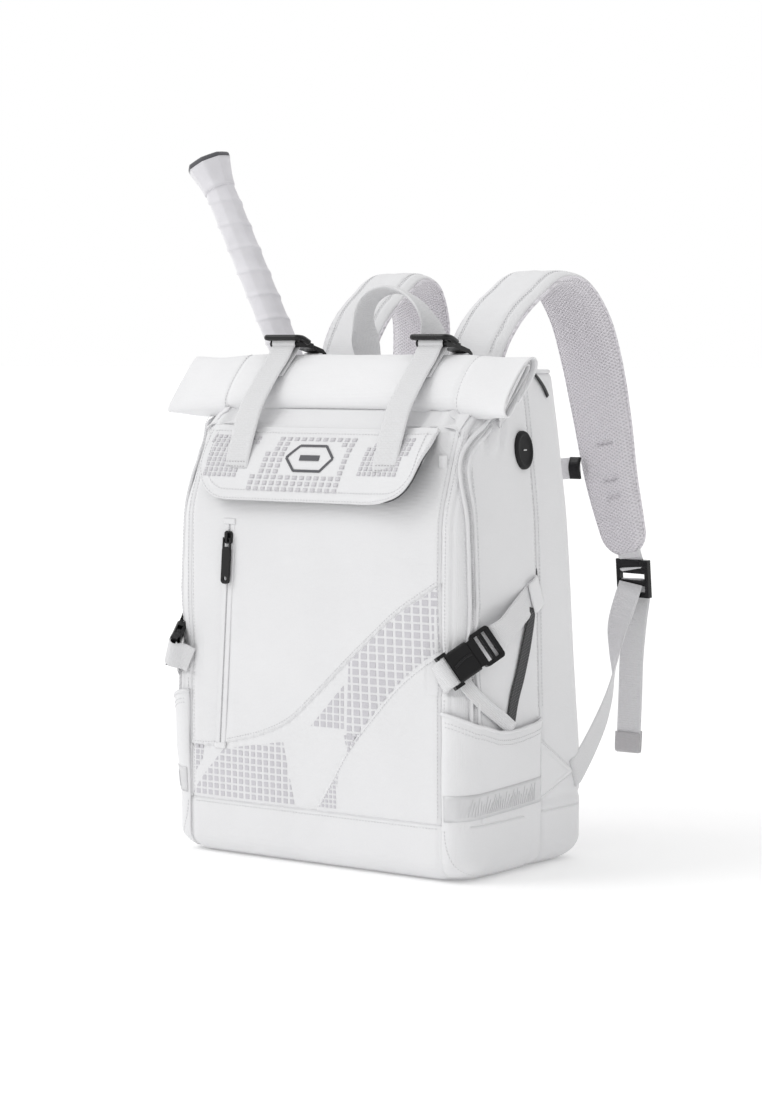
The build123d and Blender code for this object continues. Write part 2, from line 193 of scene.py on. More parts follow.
def woven(name, colour, pitch, depth, rough=0.75, sheen=0.25, spread=0.025, crease=0.0004):
    """Woven cloth: threads pitch apart along all three axes over soft, uneven creasing."""
    made, nodes, links, bsdf = shader(name)
    place = nodes.new("ShaderNodeTexCoord").outputs["Object"]
    threads = [wave(nodes, links, place, axis, pitch) for axis in "XYZ"]
    weave = maths(nodes, links, "ADD", maths(nodes, links, "ADD", threads[0], threads[1]), threads[2])
    cloud = noise_node(nodes, links, place, 11)
    grain = noise_node(nodes, links, place, 900, 1)
    mottled = maths(nodes, links, "ADD", maths(nodes, links, "MULTIPLY", cloud, 0.7),
                    maths(nodes, links, "MULTIPLY", grain, 0.3))
    tinted(nodes, links, colour, mottled, spread, bsdf.inputs["Base Color"])
    creases = maths(nodes, links, "MULTIPLY", noise_node(nodes, links, place, 30, 4), crease / depth)
    rough_cloth = maths(nodes, links, "ADD", weave, maths(nodes, links, "MULTIPLY", grain, 1.5))
    bumped(nodes, links, maths(nodes, links, "ADD", rough_cloth, creases), depth, bsdf)
    bsdf.inputs["Roughness"].default_value = rough
    bsdf.inputs["Sheen Weight"].default_value = sheen
    bsdf.inputs["Sheen Roughness"].default_value = 0.5
    return made


def ribbed(name, colour, rib=0.0013, pick=0.0021, depth=0.00022, rough=0.7):
    """Webbing: ribs along the band, crossed by picks; U runs across the band and V along it."""
    made, nodes, links, bsdf = shader(name)
    place = nodes.new("ShaderNodeTexCoord").outputs["UV"]
    ribs = wave(nodes, links, place, "X", rib)
    picks = wave(nodes, links, place, "Y", pick)
    cloth = maths(nodes, links, "ADD", ribs, maths(nodes, links, "MULTIPLY", picks, 0.6))
    grain = noise_node(nodes, links, place, 700, 2)
    factor = maths(nodes, links, "ADD", maths(nodes, links, "MULTIPLY", ribs, 0.35),
                   maths(nodes, links, "MULTIPLY", grain, 0.65))
    tinted(nodes, links, colour, factor, 0.05, bsdf.inputs["Base Color"])
    bumped(nodes, links, maths(nodes, links, "ADD", cloth, grain), depth, bsdf)
    bsdf.inputs["Roughness"].default_value = rough
    bsdf.inputs["Sheen Weight"].default_value = 0.2
    return made


def spacer_mesh(name, colour, coordinate, pitch=0.0034, depth=0.0007):
    """Spacer mesh: diagonal rows of holes, read from UV or object coordinates."""
    made, nodes, links, bsdf = shader(name)
    place = nodes.new("ShaderNodeTexCoord").outputs[coordinate]
    quarter = math.radians(45)
    across, turn = ("Y", (0, 0, quarter)) if coordinate == "UV" else ("Z", (0, quarter, 0))
    slanted = rotated(nodes, links, place, turn)
    holes = maths(nodes, links, "MULTIPLY", wave(nodes, links, slanted, "X", pitch),
                  wave(nodes, links, slanted, across, pitch))
    grain = noise_node(nodes, links, place, 600, 2)
    tinted(nodes, links, colour, maths(nodes, links, "SUBTRACT", 1.0, holes), 0.10,
           bsdf.inputs["Base Color"])
    bumped(nodes, links,
           maths(nodes, links, "SUBTRACT", maths(nodes, links, "MULTIPLY", grain, 0.3), holes),
           depth, bsdf)
    bsdf.inputs["Roughness"].default_value = 0.85
    bsdf.inputs["Sheen Weight"].default_value = 0.3
    return made


def moulded(name, colour, rough=0.38, grain_depth=0.00006, spread=0.15, coat=0.0, metal=0.0):
    """Moulded plastic, rubber or paint with fine grain and rubbed patches."""
    made, nodes, links, bsdf = shader(name)
    place = nodes.new("ShaderNodeTexCoord").outputs["Object"]
    cloud = noise_node(nodes, links, place, 60)
    grain = noise_node(nodes, links, place, 1500, 2)
    tinted(nodes, links, colour, cloud, spread, bsdf.inputs["Base Color"])
    bumped(nodes, links, grain, grain_depth, bsdf)
    ramp = nodes.new("ShaderNodeMapRange")
    ramp.inputs["To Min"].default_value = rough - 0.06
    ramp.inputs["To Max"].default_value = rough + 0.10
    links.new(cloud, ramp.inputs["Value"])
    links.new(ramp.outputs["Result"], bsdf.inputs["Roughness"])
    bsdf.inputs["Coat Weight"].default_value = coat
    bsdf.inputs["Metallic"].default_value = metal
    return made


def twill(name, colour, pitch=0.0022, depth=0.0003):
    """Carbon-look tape: a checkered twill of two wave sets."""
    made, nodes, links, bsdf = shader(name)
    place = nodes.new("ShaderNodeTexCoord").outputs["UV"]
    slanted = rotated(nodes, links, place, (0, 0, math.radians(40)))
    checks = maths(nodes, links, "MULTIPLY", wave(nodes, links, slanted, "X", pitch),
                   wave(nodes, links, slanted, "Y", pitch))
    tinted(nodes, links, colour, checks, 0.45, bsdf.inputs["Base Color"])
    bumped(nodes, links, checks, depth, bsdf)
    bsdf.inputs["Roughness"].default_value = 0.5
    return made


FABRIC = woven("shell_fabric", (0.768, 0.768, 0.778), 0.0011, 0.00006)
# The roll's cloth is the shell fabric painted lighter: a painted highlight for the light falling on the
# roll's top.
ROLL_FABRIC_PAINTED_HIGHLIGHT = woven("roll_fabric_painted_highlight", (0.825, 0.825, 0.835), 0.0011, 0.00006, crease=0.0007)
INNER = woven("inner_fabric", (0.60, 0.60, 0.62), 0.0012, 0.0001)
LINING = woven("lining_fabric", (0.075, 0.075, 0.082), 0.0012, 0.0001, spread=0.1)
MESH_UV = spacer_mesh("air_mesh_pads", (0.68, 0.66, 0.69), "UV")
MESH = spacer_mesh("air_mesh_back", (0.68, 0.66, 0.69), "Object", 0.004)
WEB = ribbed("webbing", (0.74, 0.74, 0.75))
WEB_DARK = ribbed("webbing_end", (0.52, 0.51, 0.52))
ELASTIC = ribbed("elastic", (0.74, 0.74, 0.75), rib=0.0016, pick=0.0011)
TAPE = woven("zip_tape", (0.74, 0.74, 0.75), 0.0008, 0.00008)
COIL = moulded("zip_coil", (0.62, 0.62, 0.63), 0.45)
BLACK_ZIP = woven("black_zip_tape", (0.02, 0.02, 0.022), 0.0009, 0.00012, spread=0.2, sheen=0.1)
BLACK = moulded("black_plastic", (0.006, 0.006, 0.0065), 0.27, coat=0.15)
BLACK_METAL = moulded("black_paint", (0.007, 0.007, 0.0075), 0.28, coat=0.12)
RUBBER = moulded("black_rubber", (0.013, 0.013, 0.014), 0.55, 0.00012)
for dark in (BLACK, BLACK_METAL, RUBBER):
    dark.node_tree.nodes["Principled BSDF"].inputs["Specular IOR Level"].default_value = 0.25
PALE_MARK = moulded("pale_mark", (0.55, 0.55, 0.55), 0.5)
TRIM = twill("dark_trim", (0.05, 0.05, 0.053))
PRINT = woven("print_ink", (0.57, 0.56, 0.59), 0.0011, 0.00006, spread=0.05)
FLAP_PRINT = woven("flap_print_ink", (0.62, 0.61, 0.635), 0.0011, 0.00006, spread=0.05)
MARK = woven("mark_ink", (0.075, 0.075, 0.085), 0.0011, 0.00005, rough=0.5, sheen=0.0, spread=0.06)
REFLECTIVE = moulded("reflective", (0.66, 0.66, 0.67), 0.42, 0.00008, 0.05, metal=0.15)
THREAD = moulded("thread", (0.70, 0.70, 0.71), 0.6, 0.00005, 0.05)
BOARD = moulded("board", (0.70, 0.70, 0.68), 0.6, 0.0001, 0.05)
LACQUER = moulded("racket_lacquer", (0.72, 0.72, 0.75), 0.2, 0.00002, 0.04, coat=0.6)
STRINGS = moulded("strings", (0.80, 0.80, 0.78), 0.4, 0.00004, 0.04)
GRIP = moulded("grip_wrap", (0.72, 0.71, 0.74), 0.36, 0.00012, 0.05, coat=0.12)
BUTT_DARK = moulded("butt_edge", (0.09, 0.09, 0.10), 0.4, 0.00004, 0.1)


# ---- mesh makers --------------------------------------------------------------------
def build(name, vertices, faces, material, side=1, uvs=None, smoothed=True):
    """Mesh object from points and faces; side -1 mirrors it from the right-hand side to the left."""
    if side < 0:
        vertices = [(-v[0], v[1], v[2]) for v in vertices]
        faces = [tuple(reversed(f)) for f in faces]
    mesh = bpy.data.meshes.new(name)
    mesh.from_pydata([tuple(v) for v in vertices], [], faces)
    if uvs:
        layer = mesh.uv_layers.new(name="uv")
        for loop in mesh.loops:
            layer.data[loop.index].uv = uvs[loop.vertex_index]
    mesh.polygons.foreach_set("use_smooth", [smoothed] * len(mesh.polygons))
    mesh.materials.append(material)
    mesh.update()
    made = bpy.data.objects.new(name, mesh)
    bpy.context.scene.collection.objects.link(made)
    return made


def own(piece, body, slot, *nodes):
    """The piece rides on body and stands for nodes; slot is not used."""
    if body:
        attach(piece, body)
    if nodes:
        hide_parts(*nodes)
    return piece


def on_bag(piece, slot="shell_fabric", *nodes):
    """A piece that is part of the bag's body."""
    return own(piece, "bag", slot, *nodes)


def thicken(piece, thickness):
    """Gives a sheet its thickness, inwards."""
    solid = piece.modifiers.new("thickness", "SOLIDIFY")
    solid.thickness = thickness
    solid.offset = -1.0
    bpy.context.view_layer.update()
    with_rim = bpy.data.meshes.new_from_object(piece.evaluated_get(bpy.context.evaluated_depsgraph_get()))
    piece.modifiers.clear()
    piece.data = with_rim
    return piece


def sheet_grid(name, point, across, along, material, side=1, skip=None, outward=True, thickness=0.0016):
    """Sheet through point(u, v) for u and v from 0 to 1; skip(u, v) leaves a cell out."""
    vertices = [point(i / across, j / along) for j in range(along + 1) for i in range(across + 1)]
    faces = []
    for j in range(along):
        for i in range(across):
            if skip and skip((i + 0.5) / across, (j + 0.5) / along):
                continue
            a = j * (across + 1) + i
            face = (a, a + 1, a + across + 2, a + across + 1)
            faces.append(face if outward else tuple(reversed(face)))
    uvs = [(i / across * 0.1, j / along * 0.1) for j in range(along + 1) for i in range(across + 1)]
    made = build(name, vertices, faces, material, side, uvs)
    return thicken(made, thickness) if thickness else made


def loft(name, rings, material, side=1, uvs=None, caps=True):
    """Closed skin over rings of equal length."""
    count = len(rings[0])
    vertices = [p for r in rings for p in r]
    faces = []
    for j in range(len(rings) - 1):
        for i in range(count):
            a, b = j * count + i, j * count + (i + 1) % count
            faces.append((a, b, b + count, a + count))
    if caps:
        faces.append(tuple(reversed(range(count))))
        faces.append(tuple(range(len(vertices) - count, len(vertices))))
    return build(name, vertices, faces, material, side, uvs)


def directions(points, across):
    """At each point the way along the route, across it and out of it."""
    last = len(points) - 1
    found = []
    for i in range(last + 1):
        along = (points[min(i + 1, last)] - points[max(i - 1, 0)]).normalized()
        side = Vector(across[i]) if isinstance(across, list) else Vector(across)
        side = (side - along * side.dot(along)).normalized()
        found.append((along, side, side.cross(along)))
    return found


def webbing(name, points, across, width, thick=WEBBING_THICK, material=None, side=1, steps=None,
            widths=None):
    """Flat woven band along a smooth route, with rounded selvedges and UVs in metres."""
    length = sum((q - p).length for p, q in zip(points, points[1:]))
    steps = steps or max(8, int(length / 0.004))
    if isinstance(across, list):
        keyed = [Vector((*p, *Vector(a))) for p, a in zip(points, across)]
        route = spline(keyed, steps)
        across = [Vector(p[3:6]) for p in route]
        route = [Vector(p[:3]) for p in route]
    else:
        route = spline(points, steps)
    outline = []
    for k in range(13):
        t = -1 + k / 6
        edge = 1 - max(0.0, abs(t) - 0.86) / 0.14
        outline.append((t, 0.30 + 0.70 * math.sqrt(max(0.0, edge)) + 0.10 * bump(abs(t) - 0.84, 0.08)))
    section = [(t, h) for t, h in outline] + [(t, -h) for t, h in reversed(outline)]
    rings, uvs, run = [], [], 0.0
    for i, (point, (_, over, out)) in enumerate(zip(route, directions(route, across))):
        if i:
            run += (point - route[i - 1]).length
        w = width if widths is None else np.interp(i / steps, np.linspace(0, 1, len(widths)), widths)
        rings.append([point + over * (t * w / 2) + out * (h * thick / 2) for t, h in section])
        uvs += [(t * w / 2, run) for t, h in section]
    return loft(name, rings, material or WEB, side, uvs)


def tube(name, points, radius, material, side=1, closed=False, sides=8, radii=None):
    """Round cord through points, for piping, bars and wire."""
    count = len(points)
    rings = []
    normal = None
    for i, point in enumerate(points):
        if closed:
            along = (points[(i + 1) % count] - points[i - 1]).normalized()
        else:
            along = (points[min(i + 1, count - 1)] - points[max(i - 1, 0)]).normalized()
        if normal is None:
            normal = along.orthogonal()
        normal = (normal - along * normal.dot(along)).normalized()
        other = along.cross(normal)
        r = radii[i] if radii else radius
        rings.append([point + (normal * math.cos(k * math.tau / sides)
                               + other * math.sin(k * math.tau / sides)) * r
                      for k in range(sides)])
    if closed:
        rings.append(rings[0])
    return loft(name, rings, material, side, caps=not closed)


def stitches(name, rows, side=1, gap=0.0031, length=0.0023, thick=0.00036, material=None):
    """Rows of thread; each row is a list of (point, outward normal)."""
    vertices, faces = [], []
    for row in rows:
        points = [p for p, _ in row]
        run = distances(points)
        place = np.array([[*p, *n] for p, n in row])
        for start in np.arange(gap / 2, run[-1] - gap / 2, gap):
            ends = [Vector([np.interp(start + d, run, place[:, k]) for k in range(6)]) for d in (0, length)]
            a, b = Vector(ends[0][:3]), Vector(ends[1][:3])
            out = Vector(ends[0][3:6]).normalized()
            along = (b - a).normalized()
            over = along.cross(out).normalized() * thick
            base = len(vertices)
            rise = out * thick
            third = (b - a) * 0.22
            for foot in (a + third, b - third):
                vertices += [foot + over, foot + rise, foot - over, foot - rise]
            vertices += [a - rise * 0.4, b - rise * 0.4]
            for k in range(4):
                n = (k + 1) % 4
                faces.append((base + k, base + 4 + k, base + 4 + n, base + n))
                faces.append((base + 8, base + k, base + n))
                faces.append((base + 9, base + 4 + n, base + 4 + k))
    return build(name, vertices, faces, material or THREAD, side)


def rounded(piece, width):
    """Small bevel on a hard piece's edges; its own mesh isn't changed."""
    bevel = piece.modifiers.new("edges", "BEVEL")
    bevel.width = width
    bevel.segments = 2
    bevel.limit_method = "ANGLE"
    bevel.angle_limit = math.radians(30)
    bevel.harden_normals = False
    return piece


def finish_node(name, material, bevel=0.0):
    """A CAD node that stays: it gets a material and, if asked, eased edges."""
    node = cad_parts[name]
    node.data.materials.clear()
    node.data.materials.append(material)
    if bevel:
        rounded(node, bevel)
    return node


# ---- the stuffed body ---------------------------------------------------------------
TABLE_Z = np.arange(-0.010, 0.440, 0.001)
SMOOTHED = [np.mean([np.interp(TABLE_Z + k * 0.003, STATIONS[:, 0], STATIONS[:, c]) for k in range(-4, 5)],
                    axis=0)
            for c in (1, 2, 3)]


def station(z):
    """Half width, front and back at height z, drawn in round the foot."""
    half, front, back = (float(np.interp(z, TABLE_Z, column)) for column in SMOOTHED)
    low = max(0.0, FOOT_RADIUS - z)
    inset = FOOT_RADIUS - math.sqrt(max(0.0, FOOT_RADIUS ** 2 - low ** 2))
    return half - inset, front + inset, back - inset


def ring(z, s):
    """Point s metres round the body's outline from the middle of its front, and the way out."""
    half, front, back = station(z)
    sign = 1 if s >= 0 else -1
    s = abs(s)
    flat = half - CORNER
    arc = CORNER * math.pi / 2
    depth = back - front - 2 * CORNER
    if s < flat:
        x, y, nx, ny = s, front, 0, -1
    elif s < flat + arc:
        a = (s - flat) / CORNER
        nx, ny = math.sin(a), -math.cos(a)
        x, y = flat + CORNER * nx, front + CORNER + CORNER * ny
    elif s < flat + arc + depth:
        x, y, nx, ny = half, front + CORNER + s - flat - arc, 1, 0
    elif s < flat + 2 * arc + depth:
        a = (s - flat - arc - depth) / CORNER
        nx, ny = math.cos(a), math.sin(a)
        x, y = flat + CORNER * nx, back - CORNER + CORNER * ny
    else:
        x, y, nx, ny = flat - (s - flat - 2 * arc - depth), back, 0, 1
    return Vector((sign * x, y, z)), Vector((sign * nx, ny, 0))


def round_to_x(x, z):
    """How far round the outline the front reaches x."""
    flat = station(z)[0] - CORNER
    if x <= flat:
        return x
    return flat + CORNER * math.asin(min(1.0, (x - flat) / CORNER))


def round_to_y(y, z):
    """How far round the outline the side, or its front corner, reaches y."""
    half, front, back = station(z)
    flat = half - CORNER
    if y < front + CORNER:
        return flat + CORNER * math.acos(max(-1.0, min(1.0, (front + CORNER - y) / CORNER)))
    if y > back - CORNER:
        depth = back - front - 2 * CORNER
        bend = math.asin(min(1.0, (y - back + CORNER) / CORNER))
        return flat + CORNER * math.pi / 2 + depth + CORNER * bend
    return flat + CORNER * math.pi / 2 + y - front - CORNER


def half_girth(z):
    half, front, back = station(z)
    return 2 * (half - CORNER) + CORNER * math.pi + back - front - 2 * CORNER


# curved seams of the front panel, as (x, z)
WAVE_UPPER = spline(mm([(-134, 94, 0), (-110, 95, 0), (-83, 101, 0), (-50, 110, 0), (-22, 123, 0),
                        (-1, 140, 0), (21, 160, 0), (42, 179, 0), (63, 197, 0), (89, 219, 0),
                        (114, 235, 0), (134, 247, 0)]), 60)
WAVE_LOWER = spline(mm([(4, 48, 0), (12, 60, 0), (26, 81, 0), (42, 105, 0), (68, 135, 0), (94, 162, 0),
                        (120, 182, 0), (134, 190, 0)]), 40)
ZIP_TOP, ZIP_FOOT = Vector((-0.088, 0.288)), Vector((-0.100, 0.096))
# the side zip's line as (y, z), up from the pocket and back along the top
ZIP_LINE = spline(mm([(-78, 100, 0), (-77, 160, 0), (-76, 240, 0), (-75.5, 300, 0), (-74, 330, 0),
                      (-68, 351, 0), (-54, 367, 0), (-36, 379, 0), (-12, 395, 0), (10, 406, 0)]), 90)


def beyond(x, z, line):
    """Distance from (x, z) to a curved seam."""
    return min(math.hypot(x - p.x, z - p.y) for p in line[::2])


def wrinkle(p, amount=0.0006):
    """Soft unevenness of stuffed cloth."""
    broad = noise.noise(Vector((p.x * 14, p.y * 14, p.z * 9)))
    fine = noise.noise(Vector((p.x * 38 + 7, p.y * 38, p.z * 24)))
    return amount * (broad + 0.35 * fine)


def front_relief(x, z):
    """How far the front panel stands proud of its flat outline."""
    rise = 0.0022 * (1 - (x / FRONT_SEAM_X) ** 2) * smooth((z - 0.02) / 0.10)
    rise -= 0.0017 * bump(abs(x) - FRONT_SEAM_X, 0.0030)
    rise -= 0.0009 * bump(z - BOOT_TOP, 0.0024)
    along = (ZIP_FOOT - ZIP_TOP).normalized()
    offset = Vector((x, z)) - ZIP_TOP
    reach = offset.dot(along)
    if -0.004 < reach < (ZIP_FOOT - ZIP_TOP).length:
        rise -= 0.0014 * bump(abs(offset.cross(along)), 0.0075)
    if 0.085 < z < 0.262:
        gap = beyond(x, z, WAVE_UPPER)
        over = np.interp(x, [p.x for p in WAVE_UPPER], [p.y for p in WAVE_UPPER])
        rise += (0.0009 * math.exp(-gap / 0.012) if z > over else -0.0011 * math.exp(-gap / 0.0030))
    if z < 0.20 and x > -0.01:
        gap = beyond(x, z, WAVE_LOWER)
        over = np.interp(x, [p.x for p in WAVE_LOWER], [p.y for p in WAVE_LOWER])
        rise += (0.0010 * math.exp(-gap / 0.012) if z < over else -0.0010 * math.exp(-gap / 0.0030))
    return rise


def skin(s, z, lift=0.0, amount=0.0006):
    """Point on the body's cloth, with its crown, seams and wrinkles."""
    point, out = ring(z, s)
    reach = abs(s)
    seam = round_to_x(FRONT_SEAM_X, z)
    side_seam = round_to_y(SIDE_SEAM_Y, z)
    if reach <= seam:
        rise = front_relief(point.x, z)
    elif reach <= side_seam:
        t = (reach - seam) / (side_seam - seam)
        rise = 0.0030 * math.sin(math.pi * t) ** 0.8 if t < 1 else 0.0
        rise -= 0.0017 * bump(reach - seam, 0.0030) + 0.0016 * bump(side_seam - reach, 0.0030)
        rise -= 0.0009 * bump(reach - seam - 0.0095, 0.0016)
    else:
        girth = half_girth(z)
        t = (reach - side_seam) / (girth - side_seam)
        rise = 0.0018 * math.sin(math.pi * min(1.0, t))
        rise -= 0.0016 * bump(reach - side_seam, 0.0030) + 0.0014 * bump(z - 0.057, 0.0024)
        rise -= 0.0016 * bump(abs(point.x) - BACK_SEAM_X, 0.0030) if point.y > 0.06 else 0.0
    rise += wrinkle(point, amount)
    if point.y < SIDE_SEAM_Y and z > 0.335:
        under_roll = (smooth((z - 0.345) / 0.022) * smooth((abs(point.x) - 0.078) / 0.03)
                      * smooth((-0.006 - point.y) / 0.02))
        rise += 0.0021 * under_roll * (math.sin(s * 345 + z * 30) + 0.5 * math.sin(s * 190))
    if 0.155 < z < 0.225 and abs(point.x) > 0.12:
        beside = Vector((abs(point.x), point.y, z))
        span = BUCKLE_HEAD - BUCKLE_FOOT
        share = min(1.0, max(0.0, (beside - BUCKLE_FOOT).dot(span) / span.length_squared))
        rise -= 0.0042 * bump((beside - BUCKLE_FOOT.lerp(BUCKLE_HEAD, share)).length, 0.021)
    moved = point + out * (rise + lift)
    if point.y < -0.03:
        moved.y += 0.75 * max(0.0, z - 0.370)
    return clear_of_racket(moved)


def from_racket(point):
    """The shortest way from the racket's axis to point."""
    reach = point - RACKET_EXIT
    return reach - RACKET_AXIS * reach.dot(RACKET_AXIS)


def clear_of_racket(point):
    """Cloth pushed aside by the racket's handle."""
    away = from_racket(point)
    if point.z > 0.34 and point.x < -0.08 and away.length < RACKET_CLEAR and abs(point.x) > 0.125:
        return point + away.normalized() * (RACKET_CLEAR - away.length)
    return point


def front_point(x, z, lift=0.0):
    return skin(math.copysign(round_to_x(abs(x), z), x), z, lift)


def side_point(y, z, lift=0.0, side=1):
    return skin(side * round_to_y(y, z), z, lift)


def side_out(y, z):
    return ring(z, round_to_y(y, z))[1]


def top_at(y):
    """Height of the side's top edge."""
    return float(np.interp(y, [p[0] for p in TOP_EDGE], [p[1] for p in TOP_EDGE]))


def body_pieces():
    def front_height(v):
        return BOOT_TOP + v * (FRONT_TOP - BOOT_TOP)

    def in_mouth(u, v):
        return abs((2 * u - 1) * FRONT_SEAM_X) < MOUTH_HALF and MOUTH_LOW < front_height(v) < MOUTH_HIGH

    def front(u, v):
        return front_point((2 * u - 1) * FRONT_SEAM_X, front_height(v))

    piece = sheet_grid("front_panel_cloth", front, 230, 290, FABRIC, skip=in_mouth, thickness=CLOTH)
    on_bag(piece, "shell_fabric", "front_panel")
    lips = []
    for a, b in (((-1, 0), (1, 0)), ((1, 0), (1, 1)), ((1, 1), (-1, 1)), ((-1, 1), (-1, 0))):
        for k in range(12):
            x = (a[0] + (b[0] - a[0]) * k / 12) * (MOUTH_HALF + 0.001)
            z = MOUTH_LOW - 0.001 + (a[1] + (b[1] - a[1]) * k / 12) * (MOUTH_HIGH - MOUTH_LOW + 0.002)
            lips.append(front_point(x, z, 0.0003))
    on_bag(tube("front_pocket_binding", lips, 0.0014, FABRIC, closed=True))

    def boot(u, v):
        if v < 0.4:
            t = v / 0.4
            edge = ring(0.0, (2 * u - 1) * half_girth(0.0))[0]
            return Vector((edge.x * t, edge.y * t, 0.0))
        z = BOOT_TOP * ((v - 0.4) / 0.6) ** 1.3
        return skin((2 * u - 1) * half_girth(z) * 0.99999, z, 0.0, 0.0006 * smooth(z / 0.02))

    on_bag(sheet_grid("base_boot_cloth", boot, 300, 36, FABRIC, thickness=CLOTH), "shell_fabric",
           "base_boot")
    for name, side in SIDES.items():

        def gusset(u, v):
            z = BOOT_TOP + v * (FRONT_TOP - BOOT_TOP)
            low = round_to_x(FRONT_SEAM_X, z)
            return mirrored(skin(side * (low + u * (round_to_y(GUSSET_Y, z) - low)), z), side)

        def flank(u, v):
            y = GUSSET_Y + u * (SIDE_SEAM_Y - GUSSET_Y)
            z = BOOT_TOP + v * (top_at(y) - BOOT_TOP)
            return mirrored(folded_in(skin(side * round_to_y(y, z), z), z, top_at(y)), side)

        def rear(u, v):
            z = BOOT_TOP + v * (BODY_TOP - BOOT_TOP)
            low = round_to_y(SIDE_SEAM_Y, z)
            s = low + u * (half_girth(z) - BACK_SEAM_X + 0.0008 - low)
            return mirrored(folded_in(skin(side * s, z), z, BODY_TOP), side)

        pieces = [("front_gusset", gusset, 26, 190, "front_gussets"),
                  ("side_panel", flank, 60, 200, "side_panel_" + name),
                  ("rear_gusset", rear, 52, 150, "rear_gussets")]
        for label, point, across, along, node in pieces:
            piece = sheet_grid(label + "_cloth_" + name, point, across, along, FABRIC, side,
                               thickness=CLOTH)
            on_bag(piece, "shell_fabric", node)

    def back(u, v):
        z = BOOT_TOP + v * (BODY_TOP - BOOT_TOP)
        half = BACK_SEAM_X + 0.0005
        s = half_girth(z) - half + u * 2 * half
        return folded_in(skin(s if s < half_girth(z) else s - 2 * half_girth(z), z), z, BODY_TOP)

    on_bag(sheet_grid("back_panel_mesh", back, 70, 130, MESH, thickness=0.0022), "air_mesh", "back_panel")


def mirrored(point, side):
    return Vector((point.x * side, point.y, point.z))


def folded_in(point, z, top, radius=0.006):
    """Cloth that turns in over the bag's top edge."""
    near = max(0.0, radius - (top - z))
    inset = radius - math.sqrt(max(0.0, radius ** 2 - near ** 2))
    middle = Vector((0, 0.03, z))
    way = middle - point
    way.z = 0
    return point + way.normalized() * inset


def cover_pieces():
    """Top of the rear part, the neck under the roll and the piping that edges them."""
    def cover(u, v):
        y = SIDE_SEAM_Y - 0.004 + v * (station(BODY_TOP)[2] - SIDE_SEAM_Y + 0.001)
        y = min(y, station(BODY_TOP)[2] - 0.0022)
        half = cover_half(y)
        x = (2 * u - 1) * half
        drop = 0.0028 * (1 - min(1.0, (half - abs(x)) / 0.008)) ** 2
        p = Vector((x, y, BODY_TOP + 0.0014 - drop + 0.0012 * (1 - (x / half) ** 2)))
        return p + Vector((0, 0, wrinkle(p, 0.0007)))

    def in_hole(u, v):
        return from_racket(cover(u, v)).length < RACKET_CLEAR

    piece = sheet_grid("rear_top_cloth", cover, 150, 36, FABRIC, skip=in_hole, thickness=CLOTH)
    on_bag(piece, "shell_fabric", "rear_top_cover")
    hole = []
    foot = RACKET_EXIT + RACKET_AXIS * ((BODY_TOP + 0.0025 - RACKET_EXIT.z) / RACKET_AXIS.z)
    for k in range(40):
        a = k * math.tau / 40
        hole.append(foot + Vector((math.cos(a) * 0.0200, math.sin(a) * 0.0183, 0.0008 * math.sin(2 * a))))
    on_bag(tube("racket_port_binding", hole, 0.0021, FABRIC, closed=True, sides=10))

    profile = spline(mm([(0, -70.5, 373.5), (0, -58, 377.5), (0, -40, 378.5), (0, -24, 391),
                         (0, -10.6, 405.0), (0, 16, 416.6), (0, 24, 418.5)]), 40)

    def neck(u, v):
        base = profile[min(40, int(round(v * 40)))]
        half = station(base.z)[0] - 0.0060
        x = (2 * u - 1) * half
        near = smooth((abs(x) - 0.085) / 0.045)
        pucker = 0.0032 * near * math.sin(x * 260 + base.y * 40) * math.sin(math.pi * v)
        drop = 0.0045 * (1 - min(1.0, (half - abs(x)) / 0.010)) ** 2
        p = Vector((x, base.y, base.z + pucker - drop))
        return p + Vector((0, 0, wrinkle(p, 0.0009)))

    def by_racket(u, v):
        return from_racket(neck(u, v)).length < RACKET_CLEAR

    piece = sheet_grid("roll_neck_cloth", neck, 180, 40, FABRIC, skip=by_racket, thickness=CLOTH)
    on_bag(piece, "shell_fabric", "roll_neck")
    for name, side in SIDES.items():
        edge = []
        for k in range(12):
            y = 0.004 + k / 11 * (SIDE_SEAM_Y - 0.004)
            edge.append(skin(side * round_to_y(y, top_at(y)), top_at(y), -0.0026))
        span = half_girth(BODY_TOP) - round_to_y(SIDE_SEAM_Y, BODY_TOP)
        for k in range(1, 70):
            edge.append(skin(side * (round_to_y(SIDE_SEAM_Y, BODY_TOP) + span * k / 69 * 0.9999), BODY_TOP,
                             -0.0022))
        on_bag(tube("top_piping_" + name, edge, 0.0019, FABRIC))


def cover_half(y):
    half, _, back = station(BODY_TOP)
    into = max(0.0, y - (back - CORNER))
    return half - CORNER + math.sqrt(max(0.0, CORNER ** 2 - into ** 2)) - 0.0022


# ---- roll top -----------------------------------------------------------------------
ROLL_TURNS = 2.35
ROLL_LONG, ROLL_THIN = 0.0305, 0.0148
ROLL_LAYER = 0.0036


